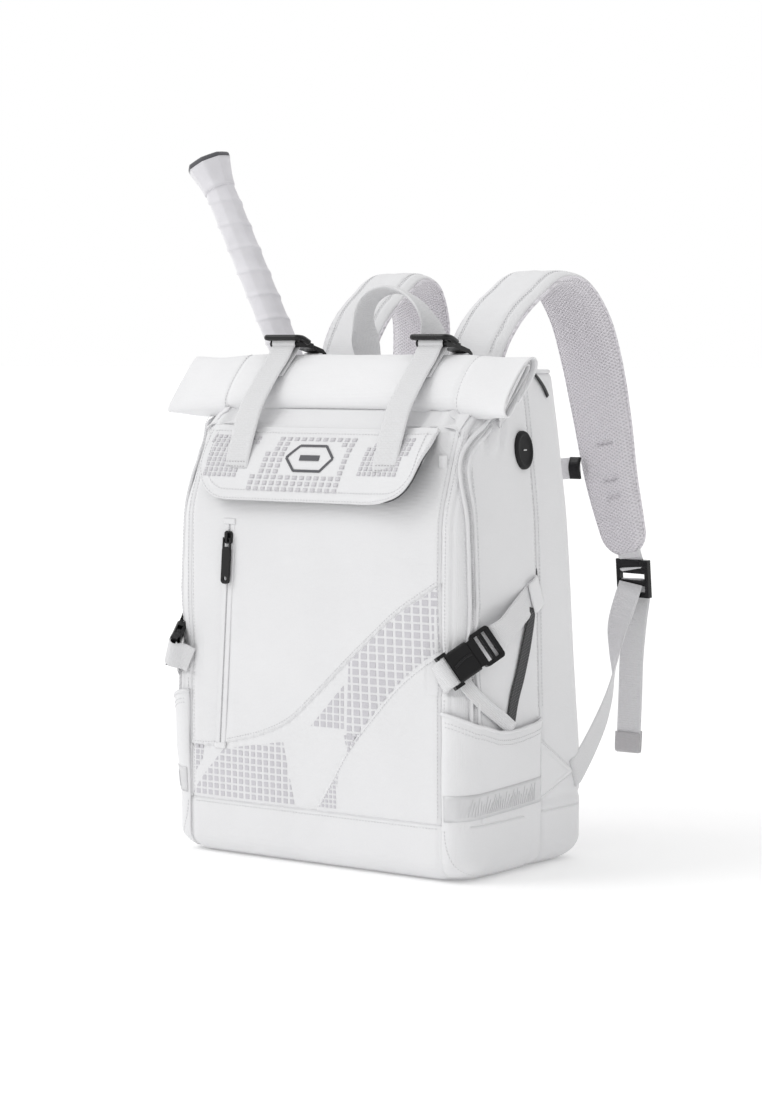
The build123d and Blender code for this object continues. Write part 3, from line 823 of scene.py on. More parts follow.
def roll_point(u, v):
    """Spiral of cloth: v goes round from the neck, over the ridge and the front, then inwards."""
    x = (2 * u - 1)
    turn = v * ROLL_TURNS
    angle = math.radians(-105) + turn * math.tau
    shrink = max(0.0, turn - 0.55)
    long, thin = (half - ROLL_LAYER * shrink for half in (ROLL_LONG, ROLL_THIN))
    c, s = math.cos(angle), math.sin(angle)
    a = long * signed_power(c, 0.80)
    n = thin * signed_power(s, 0.75)
    reach = (ROLL_RIGHT if x > 0 else ROLL_LEFT) - 0.0021 * turn + 0.0020 * math.sin(turn * 9)
    place = x * reach
    flat = smooth((abs(place) - reach + 0.042) / 0.042)
    n = n * (1 - 0.52 * flat) + 0.0050 * flat
    a *= 1 + 0.05 * flat
    pressed = sum(bump(place - strap, 0.017) for strap in (-STRAP_X, STRAP_X))
    if turn < 1.2:
        n -= 0.0016 * pressed * max(0.0, s)
        n += 0.0012 * math.sin(math.pi * min(1.0, abs(place) / reach)) * max(0.0, s)
        a += 0.0020 * pressed * (c if c < 0 else 0)
        seam = bump(abs(place) - ROLL_SEAM_X, 0.0016)
        a, n = a * (1 - 0.030 * seam), n * (1 - 0.070 * seam)
    lean = (math.cos(ROLL_LEAN), math.sin(ROLL_LEAN))
    p = Vector((place, ROLL_CENTRE.y + a * lean[0] - n * lean[1],
                ROLL_CENTRE.z + a * lean[1] + n * lean[0]))
    fold = (noise.noise(Vector((place * 8, p.y * 34, p.z * 34)))
            + 0.5 * noise.noise(Vector((place * 26, p.y * 50, p.z * 50))))
    swell = 0.0009 * fold * (1 if turn < 1.2 else 0.4)
    droop = 0.0040 * smooth((abs(place) - 0.10) / 0.075)
    return p + Vector((0, -swell * 0.7, swell * 0.7 - droop))


def roll_pieces():
    # The roll gets the lighter copy of the shell fabric, a painted highlight.
    piece = sheet_grid("roll_top_cloth", roll_point, 190, 230, ROLL_FABRIC_PAINTED_HIGHLIGHT, outward=False, thickness=0.0013)
    on_bag(piece, "shell_fabric", "roll_top")
    rows = []
    for x in (-ROLL_SEAM_X - 0.0030, ROLL_SEAM_X + 0.0030):
        row = []
        for k in range(70):
            v = (0.10 + 0.78 * k / 69) / ROLL_TURNS
            u = (x / (ROLL_RIGHT if x > 0 else ROLL_LEFT) + 1) / 2
            p = roll_point(u, v)
            out = roll_point(u, v + 0.002) - p
            out = out.cross(Vector((1, 0, 0))).normalized()
            centre = Vector((p.x, ROLL_CENTRE.y, ROLL_CENTRE.z))
            out = out if out.dot(p - centre) > 0 else -out
            row.append((p + out * THREAD_LIFT, out))
        rows.append(row)
    on_bag(stitches("roll_stitches", rows))


# ---- front flap ---------------------------------------------------------------------
FLAP_HALF = 0.120
FLAP_LENGTH = 0.0665
FLAP_PROFILE = spline(mm([(0, -74.2, 370.0), (0, -83.5, 358.0), (0, -92.1, 344.0), (0, -97.5, 326.0),
                          (0, -100.3, 308.5)]), 60)
FLAP_CORNER = 0.034
TILE_TOP, MARK_DOWN = 0.0125, 0.0300
LIP = 0.0135
LIP_RADIUS = 0.0110


def flap_half(down):
    """Half width of the flap, down metres below its sewn edge."""
    left = FLAP_LENGTH - down
    if left >= FLAP_CORNER:
        return FLAP_HALF
    return FLAP_HALF - FLAP_CORNER + math.sqrt(max(0.0, FLAP_CORNER ** 2 - (FLAP_CORNER - left) ** 2))


def flap_at(x, down, lift=0.0):
    """Point on the flap and the way out of it."""
    t = min(59.999, max(0.0, down / FLAP_LENGTH * 60))
    k = int(t)
    base = FLAP_PROFILE[k].lerp(FLAP_PROFILE[k + 1], t - k)
    along = (FLAP_PROFILE[k + 1] - FLAP_PROFILE[k]).normalized()
    out = along.cross(Vector((1, 0, 0))).normalized()
    out = out if out.y < 0 else -out
    other = math.hypot(max(0.0, -x - 0.070), max(0.0, down - 0.030))
    corner = math.hypot(max(0.0, x - 0.06), max(0.0, down - 0.026))
    gentle = 0.0022 * smooth(other / 0.05) + 0.0030 * smooth(corner / 0.058)
    edge = min(flap_half(down) - abs(x), FLAP_LENGTH - down)
    rise = (0.0008 * smooth(edge / 0.010) - 0.0006 * bump(edge - 0.0072, 0.0010)
            - 0.0008 * bump(down - 0.004, 0.002))
    p = Vector((x, base.y, base.z))
    stand = rise + gentle + wrinkle(p, 0.0005)
    off = Vector((max(0.0, x - FLAP_HALF + FLAP_CORNER), max(0.0, down - FLAP_LENGTH + FLAP_CORNER)))
    turned = off.length - FLAP_CORNER + LIP
    weight = smooth((x - 0.058) / 0.040) * smooth((down - 0.008) / 0.036)
    if turned <= 0 or weight < 0.01:
        return p + out * (stand + lift), out
    bend = weight * turned / LIP_RADIUS
    way = (Vector((1, 0, 0)) * off.x + along * off.y).normalized()
    facing = out * math.cos(bend) - way * math.sin(bend)
    radius = turned / bend
    shift = way * (radius * math.sin(bend) - turned) + out * (radius * (1 - math.cos(bend)) + stand)
    return p + shift + facing * lift, facing


def on_flap(piece, slot, *nodes):
    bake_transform(piece)
    if nodes:
        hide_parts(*nodes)
    return piece


def flap_border(inset):
    """Points round the flap's free edge, inset metres inside it, as (x, down)."""
    found = []
    radius = FLAP_CORNER - inset
    low = FLAP_LENGTH - inset
    straight = low - radius
    for k in range(30):
        found.append((-FLAP_HALF + inset, 0.004 + (straight - 0.004) * k / 30))
    for k in range(24):
        a = math.pi / 2 * k / 24
        found.append((-FLAP_HALF + inset + radius * (1 - math.cos(a)), straight + radius * math.sin(a)))
    for k in range(60):
        found.append((-FLAP_HALF + inset + radius + 2 * (FLAP_HALF - FLAP_CORNER) * k / 60, low))
    return found + [(-x, d) for x, d in reversed(found[:54])]


def flap_pieces():
    def outer(u, v):
        down = FLAP_LENGTH * v
        return flap_at((2 * u - 1) * flap_half(down), down, 0.0012)[0]

    def inner(u, v):
        down = 0.002 + (FLAP_LENGTH - 0.0035) * v
        return flap_at((2 * u - 1) * (flap_half(down) - 0.0015), down, -0.0012)[0]

    cloth = sheet_grid("front_flap_cloth", outer, 150, 60, FABRIC, outward=False, thickness=0.0020)
    on_flap(cloth, "shell_fabric", "front_flap")
    lining = sheet_grid("front_flap_lining", inner, 120, 44, LINING, outward=False, thickness=0.0009)
    on_flap(lining, "lining_fabric", "flap_lining")
    rows = [[flap_at(x, d, 0.0014) for x, d in flap_border(inset)] for inset in (0.0016, 0.0088)]
    rows.append([flap_at(-0.117 + 0.234 * k / 80, 0.0066, 0.0014) for k in range(81)])
    on_flap(stitches("front_flap_stitches", rows), "shell_fabric")
    on_flap(build("front_flap_print", *flap_tiles(), FLAP_PRINT), "shell_fabric")
    on_flap(mark_piece(), "shell_fabric")
    tab = [front_point(x, 0.3445, 0.0008) for x in (0.1225, 0.1262, 0.1300)]
    on_bag(webbing("front_panel_tab", tab, (0, 0, 1), 0.012, 0.0010, FABRIC, steps=6))


def tile(vertices, faces, corners, out, thick=0.00022):
    """One printed patch as a thin closed plate on its corner points."""
    base, count = len(vertices), len(corners)
    vertices += corners + [c + out * thick for c in corners]
    faces.append(tuple(base + k for k in reversed(range(count))))
    faces.append(tuple(base + count + k for k in range(count)))
    for k in range(count):
        n = (k + 1) % count
        faces.append((base + k, base + n, base + count + n, base + count + k))


def flap_tiles():
    """Printed squares in three leaning patches, bare round the badge."""
    vertices, faces = [], []
    # each patch: pitch and size across and down, then its left and right edge at a distance down
    patches = [
        (0.0053, 0.0042, 0.0035, 0.0030, lambda d: (-0.112, -0.062 - d * 0.45), 0.050),
        (0.0077, 0.0049, 0.0049, 0.0032, lambda d: (-0.041 - d * 0.55, 0.040 - d * 0.08), 0.058),
        (0.0053, 0.0042, 0.0035, 0.0030, lambda d: (0.052 + max(0.0, 0.010 - d) * 1.2, 0.106 - d * 0.5),
         0.046),
    ]
    for pitch_x, pitch_down, wide, tall, edges, lowest in patches:
        for row in range(12):
            down = TILE_TOP + row * pitch_down
            left, right = edges(down - TILE_TOP)
            for column in range(-24, 25):
                x = column * pitch_x - (down - TILE_TOP) * 0.15
                if not left < x < right or down > lowest:
                    continue
                if abs(x) < 0.030 and abs(down - MARK_DOWN) < 0.0150:
                    continue
                corners = [flap_at(x + a * wide / 2, down + b * tall / 2, 0.00135)[0]
                           for a, b in ((-1, -1), (-1, 1), (1, 1), (1, -1))]
                tile(vertices, faces, corners, flap_at(x, down)[1])
    return vertices, faces


def mark_piece():
    """Generic printed badge: a flat hexagon outline with one short bar."""
    hexagon = [(-0.0250, 0.0), (-0.0140, 0.0110), (0.0140, 0.0110), (0.0250, 0.0), (0.0140, -0.0110),
               (-0.0140, -0.0110)]
    strokes = [(a, b, 0.0022) for a, b in zip(hexagon, hexagon[1:] + hexagon[:1])]
    strokes.append(((-0.0105, 0.0), (0.0105, 0.0), 0.0046))
    vertices, faces = [], []
    for (xa, za), (xb, zb), width in strokes:
        way = Vector((xb - xa, zb - za)).normalized()
        over = Vector((-way.y, way.x)) * width / 2
        steps = [(xa + (xb - xa) * k / 6, za + (zb - za) * k / 6) for k in range(7)]
        for (x0, z0), (x1, z1) in zip(steps, steps[1:]):
            quad = [(x0 - over.x, z0 - over.y), (x1 - over.x, z1 - over.y), (x1 + over.x, z1 + over.y),
                    (x0 + over.x, z0 + over.y)]
            corners = [flap_at(-0.002 + x, MARK_DOWN - z, 0.00150)[0] for x, z in quad]
            tile(vertices, faces, corners, flap_at(x0, MARK_DOWN)[1], 0.00025)
    return build("front_flap_mark", vertices, faces, MARK, smoothed=False)


# ---- print on the front -------------------------------------------------------------
def inside(x, z, outline):
    """Whether (x, z) lies inside a closed outline."""
    found = False
    for (xa, za), (xb, zb) in zip(outline, outline[1:] + outline[:1]):
        if (za > z) != (zb > z) and x < (xb - xa) * (z - za) / (zb - za) + xa:
            found = not found
    return found


def clipped(corners, outline):
    """A square cut back to the part that lies inside the outline's nearby edges."""
    middle = sum(corners, Vector((0, 0))) / 4
    reach = (corners[0] - middle).length
    for a, b in zip(outline, outline[1:] + outline[:1]):
        a, b = Vector(a), Vector(b)
        share = min(1.0, max(0.0, (middle - a).dot(b - a) / max(1e-12, (b - a).length_squared)))
        if (middle - a.lerp(b, share)).length > reach:
            continue
        way = (b - a).normalized()
        kept = []
        for p, q in zip(corners, corners[1:] + corners[:1]):
            # the outlines run clockwise, so their inside is on the right
            p_in, q_in = way.cross(p - a), way.cross(q - a)
            if p_in <= 0:
                kept.append(p)
            if (p_in > 0) != (q_in > 0):
                kept.append(p.lerp(q, p_in / (p_in - q_in)))
        corners = kept
        if len(corners) < 3:
            return []
    return corners


def print_pieces():
    upper = [(p.x, p.y - 0.0022) for p in WAVE_UPPER if p.x > 0.040]
    lower = [(p.x, p.y + 0.0022) for p in WAVE_LOWER if p.x > 0.038]
    # each patch: clockwise outline, pitch, size and how far a column leans over its height
    patches = [
        (upper + list(reversed(lower)), 0.0091, 0.0068, (0.0062, 0.0048), 0.04),
        ([(0.000, 0.119), (0.036, 0.157), (0.036, 0.119)], 0.0071, 0.0063, (0.0049, 0.0046), 0),
        ([(-0.134, 0.095), (-0.119, 0.096), (-0.121, 0.082), (-0.134, 0.064)], 0.0055, 0.0049,
         (0.0037, 0.0035), 0),
        ([(-0.134, 0.050), (-0.118, 0.070), (-0.096, 0.093), (-0.030, 0.104), (-0.018, 0.050)],
         0.0070, 0.0062, (0.0043, 0.0042), 0),
        ([(0.007, 0.050), (0.029, 0.080), (0.026, 0.050)], 0.0042, 0.0042, (0.0026, 0.0026), 0),
        ([(0.036, 0.116), (0.056, 0.118), (0.040, 0.100)], 0.0046, 0.0050, (0.0032, 0.0034), 0),
    ]
    vertices, faces = [], []
    for outline, pitch_x, pitch_z, (wide, tall), lean in patches:
        for i in range(-32, 33):
            for j in range(0, 64):
                x, z = i * pitch_x, 0.0535 + j * pitch_z
                x += (0.24 - z) * lean
                square = [Vector((x + a * wide / 2, z + b * tall / 2))
                          for a, b in ((-1, -1), (1, -1), (1, 1), (-1, 1))]
                if not any(inside(c.x, c.y, outline) for c in square):
                    continue
                corners = clipped(square, outline)
                if len(corners) > 2 and max(abs(c.x) for c in corners) < 0.1338:
                    corners = [front_point(c.x, c.y, 0.00012) for c in corners]
                    tile(vertices, faces, corners, Vector((0, -1, 0)), 0.0002)
    on_bag(build("front_print", vertices, faces, PRINT, smoothed=False))


# ---- stitched seams -----------------------------------------------------------------
def seam_row(side, low, height, count, place):
    """Points of a stitch row that climbs a side, place(z) metres round the outline at height z."""
    row = []
    for k in range(count + 1):
        z = low + height * k / count
        s = place(z)
        row.append((mirrored(skin(side * s, z, THREAD_LIFT), side), ring(z, s)[1]))
    return row


def seam_stitches():
    front = Vector((0, -1, 0))
    rows = [[(front_point(p.x, p.y + 0.0030, THREAD_LIFT), front) for p in WAVE_UPPER],
            [(front_point(p.x, p.y - 0.0030, THREAD_LIFT), front) for p in WAVE_LOWER if p.y > 0.056],
            [(front_point(-0.131 + 0.262 * k / 80, BOOT_TOP - 0.0032, THREAD_LIFT), front)
             for k in range(81)]]
    for side in (-1, 1):
        x = side * (FRONT_SEAM_X - 0.0032)
        rows.append([(front_point(x, 0.052 + 0.316 * k / 90, THREAD_LIFT), front) for k in range(91)])
    on_bag(stitches("front_stitches", rows))
    for label, line in (("upper", WAVE_UPPER), ("lower", WAVE_LOWER)):
        cord = [front_point(p.x, p.y, 0.0001) for p in line if abs(p.x) < 0.1338 and p.y > 0.0485]
        on_bag(tube("front_seam_cord_" + label, cord, 0.0007, FABRIC))
    for name, side in SIDES.items():
        rows = [seam_row(side, 0.052, 0.318, 80, lambda z: round_to_x(FRONT_SEAM_X, z) + SEAM_GAP)]
        for offset in (-SEAM_GAP, SEAM_GAP):
            rows.append(seam_row(side, 0.135, 0.268, 70, lambda z: round_to_y(SIDE_SEAM_Y, z) + offset))
        on_bag(stitches("side_stitches_" + name, rows, side))


# ---- zips ---------------------------------------------------------------------------
def coil(name, points, outs, radius, gap, material, side=1):
    """Zip coil: small beads in a row, each turned across the tape."""
    vertices, faces = [], []
    run = distances(points)
    table = np.array([[*p, *o] for p, o in zip(points, outs)])
    for at in np.arange(0, run[-1], gap):
        here, ahead = (Vector([np.interp(at + d, run, table[:, k]) for k in range(6)]) for d in (0, 0.0005))
        p, out = Vector(here[:3]), Vector(here[3:6]).normalized()
        along = (Vector(ahead[:3]) - p).normalized() if at < run[-1] - 0.001 else along
        over = along.cross(out).normalized()
        base = len(vertices)
        for t, r in ((-1.6, 0.35), (-0.8, 0.9), (0.8, 0.9), (1.6, 0.35)):
            centre = p + over * t * radius
            for k in range(6):
                a = k * math.tau / 6
                vertices.append(centre + (out * math.sin(a) + along * math.cos(a) * 0.55) * r * radius)
        for row in range(3):
            for k in range(6):
                n = (k + 1) % 6
                a = base + row * 6
                faces.append((a + k, a + 6 + k, a + 6 + n, a + n))
        faces.append(tuple(base + k for k in range(6)))
        faces.append(tuple(base + 18 + k for k in reversed(range(6))))
    return build(name, vertices, faces, material, side)


def zip_pieces():
    front = Vector((0, -1, 0))
    line = [ZIP_TOP.lerp(ZIP_FOOT, k / 70) for k in range(71)]
    base = -0.0940
    tape = [Vector((p.x, base, p.y)) for p in line]
    on_bag(webbing("front_zip_tape", tape, (1, 0, 0), 0.0105, 0.0008, TAPE, steps=70), "zip_tape",
           "front_zip")
    on_bag(coil("front_zip_coil", [p + front * 0.0006 for p in tape], [front] * 71, COIL_RADIUS, COIL_PITCH,
                COIL), "zip_tape")
    for label, offset in (("inner", 0.0031), ("outer", -0.0031)):
        lip = [Vector((p.x + offset, base - 0.0009, p.y)) for p in line]
        on_bag(webbing("front_zip_lip_" + label, lip, (1, 0, 0), 0.0048, 0.0013, FABRIC, steps=70),
               "zip_tape")
    for label, at, bend in (("top", ZIP_TOP, 0.0018), ("foot", ZIP_FOOT, -0.0005)):
        end = [Vector((at.x + x, base - 0.0012, at.y + bend)) for x in (-0.0065, 0, 0.0065)]
        on_bag(webbing("front_zip_" + label, end, (0, 0, 1), 0.0050, 0.0016, FABRIC, steps=6), "zip_tape")

    for name, side in SIDES.items():
        points = [mirrored(side_point(p.x, p.y, 0.0002, side), side) for p in ZIP_LINE]
        outs = [side_out(p.x, p.y) for p in ZIP_LINE]
        away = [o.cross((points[min(k + 1, 90)] - points[max(0, k - 1)]).normalized())
                for k, o in enumerate(outs)]
        tape = webbing("side_zip_tape_" + name, points[::3], away[::3], 0.0110, 0.0010, TAPE, side,
                       steps=90)
        on_bag(tape, "zip_tape", "side_zips")
        raised = [p + o * 0.0008 for p, o in zip(points, outs)]
        on_bag(coil("side_zip_coil_" + name, raised, outs, COIL_RADIUS, COIL_PITCH, COIL, side), "zip_tape")
        for label, offset in (("front", -1), ("rear", 1)):
            welt = [p + a * offset * 0.0040 + o * 0.0009 for p, a, o in zip(points, away, outs)]
            on_bag(tube(f"side_zip_{label}_welt_{name}", welt, 0.0016, FABRIC, side), "zip_tape")
            edge = [p + a * offset * 0.0078 + o * 0.0004 for p, a, o in zip(points, away, outs)]
            on_bag(stitches(f"side_zip_{label}_stitches_{name}", [list(zip(edge, outs))], side), "zip_tape")

    top = BODY_TOP + 0.0030
    rear = [Vector((x, 0.060, top)) for x in np.linspace(-0.094, 0.120, 40)]
    tape = webbing("rear_zip_tape", rear, (0, 1, 0), 0.0100, 0.0009, BLACK_ZIP, steps=60)
    on_bag(tape, "black_zip", "rear_zip")
    up = Vector((0, 0, 1))
    on_bag(coil("rear_zip_coil", [p + up * 0.0007 for p in rear], [up] * 40, 0.00080, 0.0014, BLACK_ZIP),
           "black_zip")
    for name in ("front_zip_slider", "front_zip_pull", "rear_zip_slider", "side_zip_slider_right",
                 "side_zip_slider_left"):
        finish_node(name, BLACK_METAL, 0.00035)
    # black end of the rear zip, where it turns down the right-hand side
    tail = [skin(round_to_y(y, z), z, lift) for y, z, lift in
            ((0.035, 0.4165, 0.0012), (0.041, 0.4110, 0.0013), (0.047, 0.4040, 0.0013),
             (0.051, 0.3970, 0.0012))]
    on_bag(webbing("rear_zip_tail", tail, (0, 1, -0.6), 0.0042, 0.0012, BLACK_ZIP, steps=16), "black_zip")


# ---- pockets, trims and ports -------------------------------------------------------
MOUTH_LINE = [(-0.094, 0.1405), (-0.088, 0.1360), (-0.080, 0.1309), (-0.055, 0.1233), (-0.037, 0.1215),
              (-0.018, 0.1218), (0.005, 0.1238), (0.021, 0.1265)]


def mouth_at(y):
    return float(np.interp(y, [p[0] for p in MOUTH_LINE], [p[1] for p in MOUTH_LINE]))


def pocket_lift(s_share, z):
    """How far the pocket stands off the body: most at the middle of its mouth."""
    return 0.0014 + 0.0074 * math.sin(math.pi * s_share) ** 0.5 * smooth((z - 0.03) / 0.09)


def pocket_point(u, z, side, lift=0.0):
    """Point on the pocket, u from the front seam to the side seam."""
    low, high = round_to_x(FRONT_SEAM_X, z) + 0.0012, round_to_y(SIDE_SEAM_Y, z) - 0.0012
    s = low + u * (high - low)
    base, out = ring(z, s)
    roll = 0.0010 * (bump(u, 0.035) + bump(1 - u, 0.035))
    p = base + out * (pocket_lift(u, z) + lift - roll)
    mirrored_p = mirrored(p, side)
    return p + out * (wrinkle(mirrored_p, 0.0011)
                      + 0.0008 * math.sin(u * 9 + z * 90) * smooth((z - 0.08) / 0.04))


def pocket_ring(u, z):
    """Point of the body's outline behind the pocket, and the way out."""
    low, high = round_to_x(FRONT_SEAM_X, z), round_to_y(SIDE_SEAM_Y, z)
    return ring(z, low + u * (high - low))


def pocket_out(u, z):
    return pocket_ring(u, z)[1]


def pocket_top(u):
    """Height of the pocket's mouth at u."""
    return mouth_at(pocket_ring(u, 0.12)[0].y)


def pocket_pieces():
    for name, side in SIDES.items():

        def panel(u, v):
            return pocket_point(u, 0.0035 + v * (pocket_top(u) - 0.0035), side)

        piece = sheet_grid("side_pocket_cloth_" + name, panel, 90, 80, FABRIC, side, thickness=0.0013)
        on_bag(piece, "shell_fabric", "side_pockets")
        us = [k / 50 for k in range(51)]
        rim = [pocket_point(u, pocket_top(u), side, -0.0002) for u in us]
        on_bag(tube("side_pocket_hem_" + name, rim, 0.0016, FABRIC, side))
        rows = []
        for drop in (0.0065, 0.0100):
            rows.append([(pocket_point(u, pocket_top(u) - drop, side, THREAD_LIFT), pocket_out(u, 0.12))
                         for u in us[1:-1]])
        curve = []
        for k in range(41):
            a = math.pi / 2 * k / 40
            curve.append((0.02 + 0.20 * (1 - math.cos(a)), 0.046 - 0.040 * math.sin(a)))
        rows.append([(pocket_point(u, z, side, THREAD_LIFT), pocket_out(u, z)) for u, z in curve])
        on_bag(stitches("side_pocket_stitches_" + name, rows, side))

        def strip(u, v):
            low = 0.0515 + 0.0055 * u
            return pocket_point(0.02 + 0.96 * u, low + v * 0.0215, side, 0.0006)

        piece = sheet_grid("reflective_strip_" + name, strip, 60, 6, REFLECTIVE, side, thickness=0.0005)
        on_bag(piece, "reflective", "reflective_strips")
        vertices, faces = [], []
        for k in range(34):
            u = 0.10 + 0.78 * k / 33
            lean = 0.014 + 0.016 * math.sin(k * 0.7)
            tall = 0.0150 - 0.0030 * (k % 3)
            low = 0.0545 + 0.0055 * u
            wide = 0.0085
            quad = [(u, low), (u + wide, low), (u + wide + lean, low + tall), (u + lean, low + tall)]
            corners = [pocket_point(a, z, side, 0.00065) for a, z in quad]
            tile(vertices, faces, corners, pocket_out(u, low), 0.00035)
        on_bag(build("reflective_hatch_" + name, vertices, faces, REFLECTIVE, side, smoothed=False),
               "reflective")

        points = []
        for k, (y, z) in enumerate([(-0.0860, 0.1690), (-0.0790, 0.1570), (-0.0640, 0.1440),
                                    (-0.0480, 0.1340), (-0.0330, 0.1235)]):
            p, out = ring(z, round_to_y(y, z))
            points.append(p + out * (0.0036 + 0.0048 * k / 4))
        piece = webbing(f"side_pocket_band_{name}", points, (0.25, 0.75, 0.6), 0.0125, 0.0014, ELASTIC,
                        side)
        on_bag(piece)

        trim = [ring(z, round_to_y(y, z))
                for y, z in ((0.0060, 0.2210), (0.0017, 0.2062), (-0.0056, 0.1866), (-0.0143, 0.1656),
                             (-0.0230, 0.1480), (-0.0300, 0.1260))]
        points = [p + o * 0.0040 for p, o in trim]
        piece = webbing("dark_trim_" + name, points, (0.0, 1, 0.35), 0.0125, 0.0012, TRIM, side,
                        widths=[0.0095, 0.0130, 0.0130, 0.0120])
        on_bag(piece, "dark_trim", "dark_trims")

        wing_piece(name, side)
    port_pieces()


def port_pieces():
    """Oval rubber port with a raised rim and a small pale mark."""
    lean = math.radians(5)
    out = Vector((math.cos(lean), 0, math.sin(lean)))
    over = Vector((-math.sin(lean), 0, math.cos(lean)))
    centre = ring(0.3525, round_to_y(0.0055, 0.3525))[0] + out * 0.0036
    rings = []
    for share, height in ((1.0, -0.0056), (1.0, 0.0006), (0.97, 0.0016), (0.90, 0.0022), (0.80, 0.0022),
                          (0.74, 0.0013), (0.66, 0.0010), (0.30, 0.0012), (0.02, 0.0012)):
        rings.append([centre + out * height
                      + (Vector((0, 1, 0)) * math.cos(a) * 0.0120 + over * math.sin(a) * 0.0162) * share
                      for a in (k * math.tau / 48 for k in range(48))])
    on_bag(loft("cable_port_flange", rings, RUBBER), "black_rubber", "cable_port")
    glyph = [centre + out * 0.0015 + Vector((0, t, 0)) for t in (-0.0022, 0, 0.0022)]
    on_bag(webbing("cable_port_mark", glyph, (0, 0, 1), 0.0011, 0.0004, PALE_MARK, steps=4), "black_rubber")


def wing_piece(name, side):
    """Triangular wing that anchors the lower webbing, with its stitched border."""
    outline = [(0.0160, 0.0570), (0.0160, 0.1110), (0.0664, 0.0790), (0.0664, 0.0755)]

    def wing(u, v):
        low = outline[0][1] + (outline[3][1] - outline[0][1]) * u
        high = outline[1][1] + (outline[2][1] - outline[1][1]) * u
        y = outline[0][0] + (outline[3][0] - outline[0][0]) * u
        z = low + v * (high - low)
        base, out = ring(z, round_to_y(y, z))
        edge = min(v, 1 - v) * (high - low)
        return base + out * (0.0016 + 0.0016 * smooth(edge / 0.006) - 0.0008 * bump(edge - 0.006, 0.001))

    piece = sheet_grid("strap_wing_cloth_" + name, wing, 30, 24, FABRIC, side, thickness=0.0016)
    on_bag(piece, "shell_fabric", "strap_wings")
    rows = []
    for v in (0.06, 0.94):
        row = []
        for k in range(31):
            p = wing(k / 30, v)
            row.append((p + Vector((THREAD_LIFT, 0, 0)), Vector((1, 0, 0))))
        rows.append(row)
    on_bag(stitches("strap_wing_stitches_" + name, rows, side))


# ---- straps and hardware ------------------------------------------------------------
def roll_straps():
    for name, side in SIDES.items():
        route = mm([(79, -97.6, 335.5), (79, -96.4, 341.5), (79, -93.6, 350), (79, -84.8, 372),
                    (79, -76.5, 389), (79, -56, 413.8), (79, -42, 428), (79, -34.4, 438.5)])
        turn = []
        for k in range(9):
            a = math.radians(215 - k * 28)
            turn.append(Vector((STRAP_X, -0.029 + 0.0046 * math.cos(a), 0.4416 + 0.0046 * math.sin(a))))
        back = mm([(79, -29.5, 434.5), (79, -40, 424), (79, -50, 414.0)])
        strap = webbing("roll_strap_webbing_" + name, route + turn[::2] + back, (1, 0, 0), WEBBING, 0.0017,
                        side=side, steps=110)
        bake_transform(strap)
        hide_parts("roll_strap_" + name)
        out = Vector((0, -0.96, 0.26))
        rows = []
        for z in (0.3375, 0.3415):
            y = -0.0985 + (z - 0.3355) * 0.20
            rows.append([(Vector((0.068 + 0.022 * k / 12, y - 0.0002, z)), out) for k in range(13)])
        own(stitches("roll_strap_tack_" + name, rows, side, material=WEB_DARK), "front_flap", "webbing")
        finish_node("roll_hook_" + name, BLACK, 0.0005)
        guard = mm([(62.5, -19, 443.0), (61.6, -28, 446.2), (62.0, -34.5, 447.0), (64.5, -35.5, 447.0),
                    (79, -35.5, 447.0), (93.5, -35.5, 447.0), (96.0, -34.5, 447.0), (96.4, -28, 446.2),
                    (95.5, -19, 443.0)])
        own(tube("roll_hook_guard_" + name, spline(guard, 60), 0.0026, BLACK, side, sides=12),
            "roll_hook_" + name, "black_plastic")
    for name, side in SIDES.items():
        tab = mm([(79, 26, 420.6), (79, 20, 421.8), (79, 14, 425.2), (79, 9.6, 428.2), (79, 6.2, 430.4),
                  (79, 8, 433.0), (79, 11.2, 430.5), (79, 15, 426.9)])
        on_bag(webbing("hook_anchor_tab_" + name, tab, (1, 0, 0), 0.020, 0.0015, side=side, steps=40),
               "webbing", "hook_anchors")
        bar = [Vector((x, 0.008, 0.4305)) for x in np.linspace(0.067, 0.091, 9)]
        on_bag(tube("hook_anchor_bar_" + name, bar, 0.0018, BLACK_METAL, side, sides=12), "black_plastic")


def buckle_axes():
    along = (BUCKLE_HEAD - BUCKLE_FOOT).normalized()
    out = Vector((0.60, -0.79, 0.07))
    out = (out - along * out.dot(along)).normalized()
    return along, out.cross(along), out


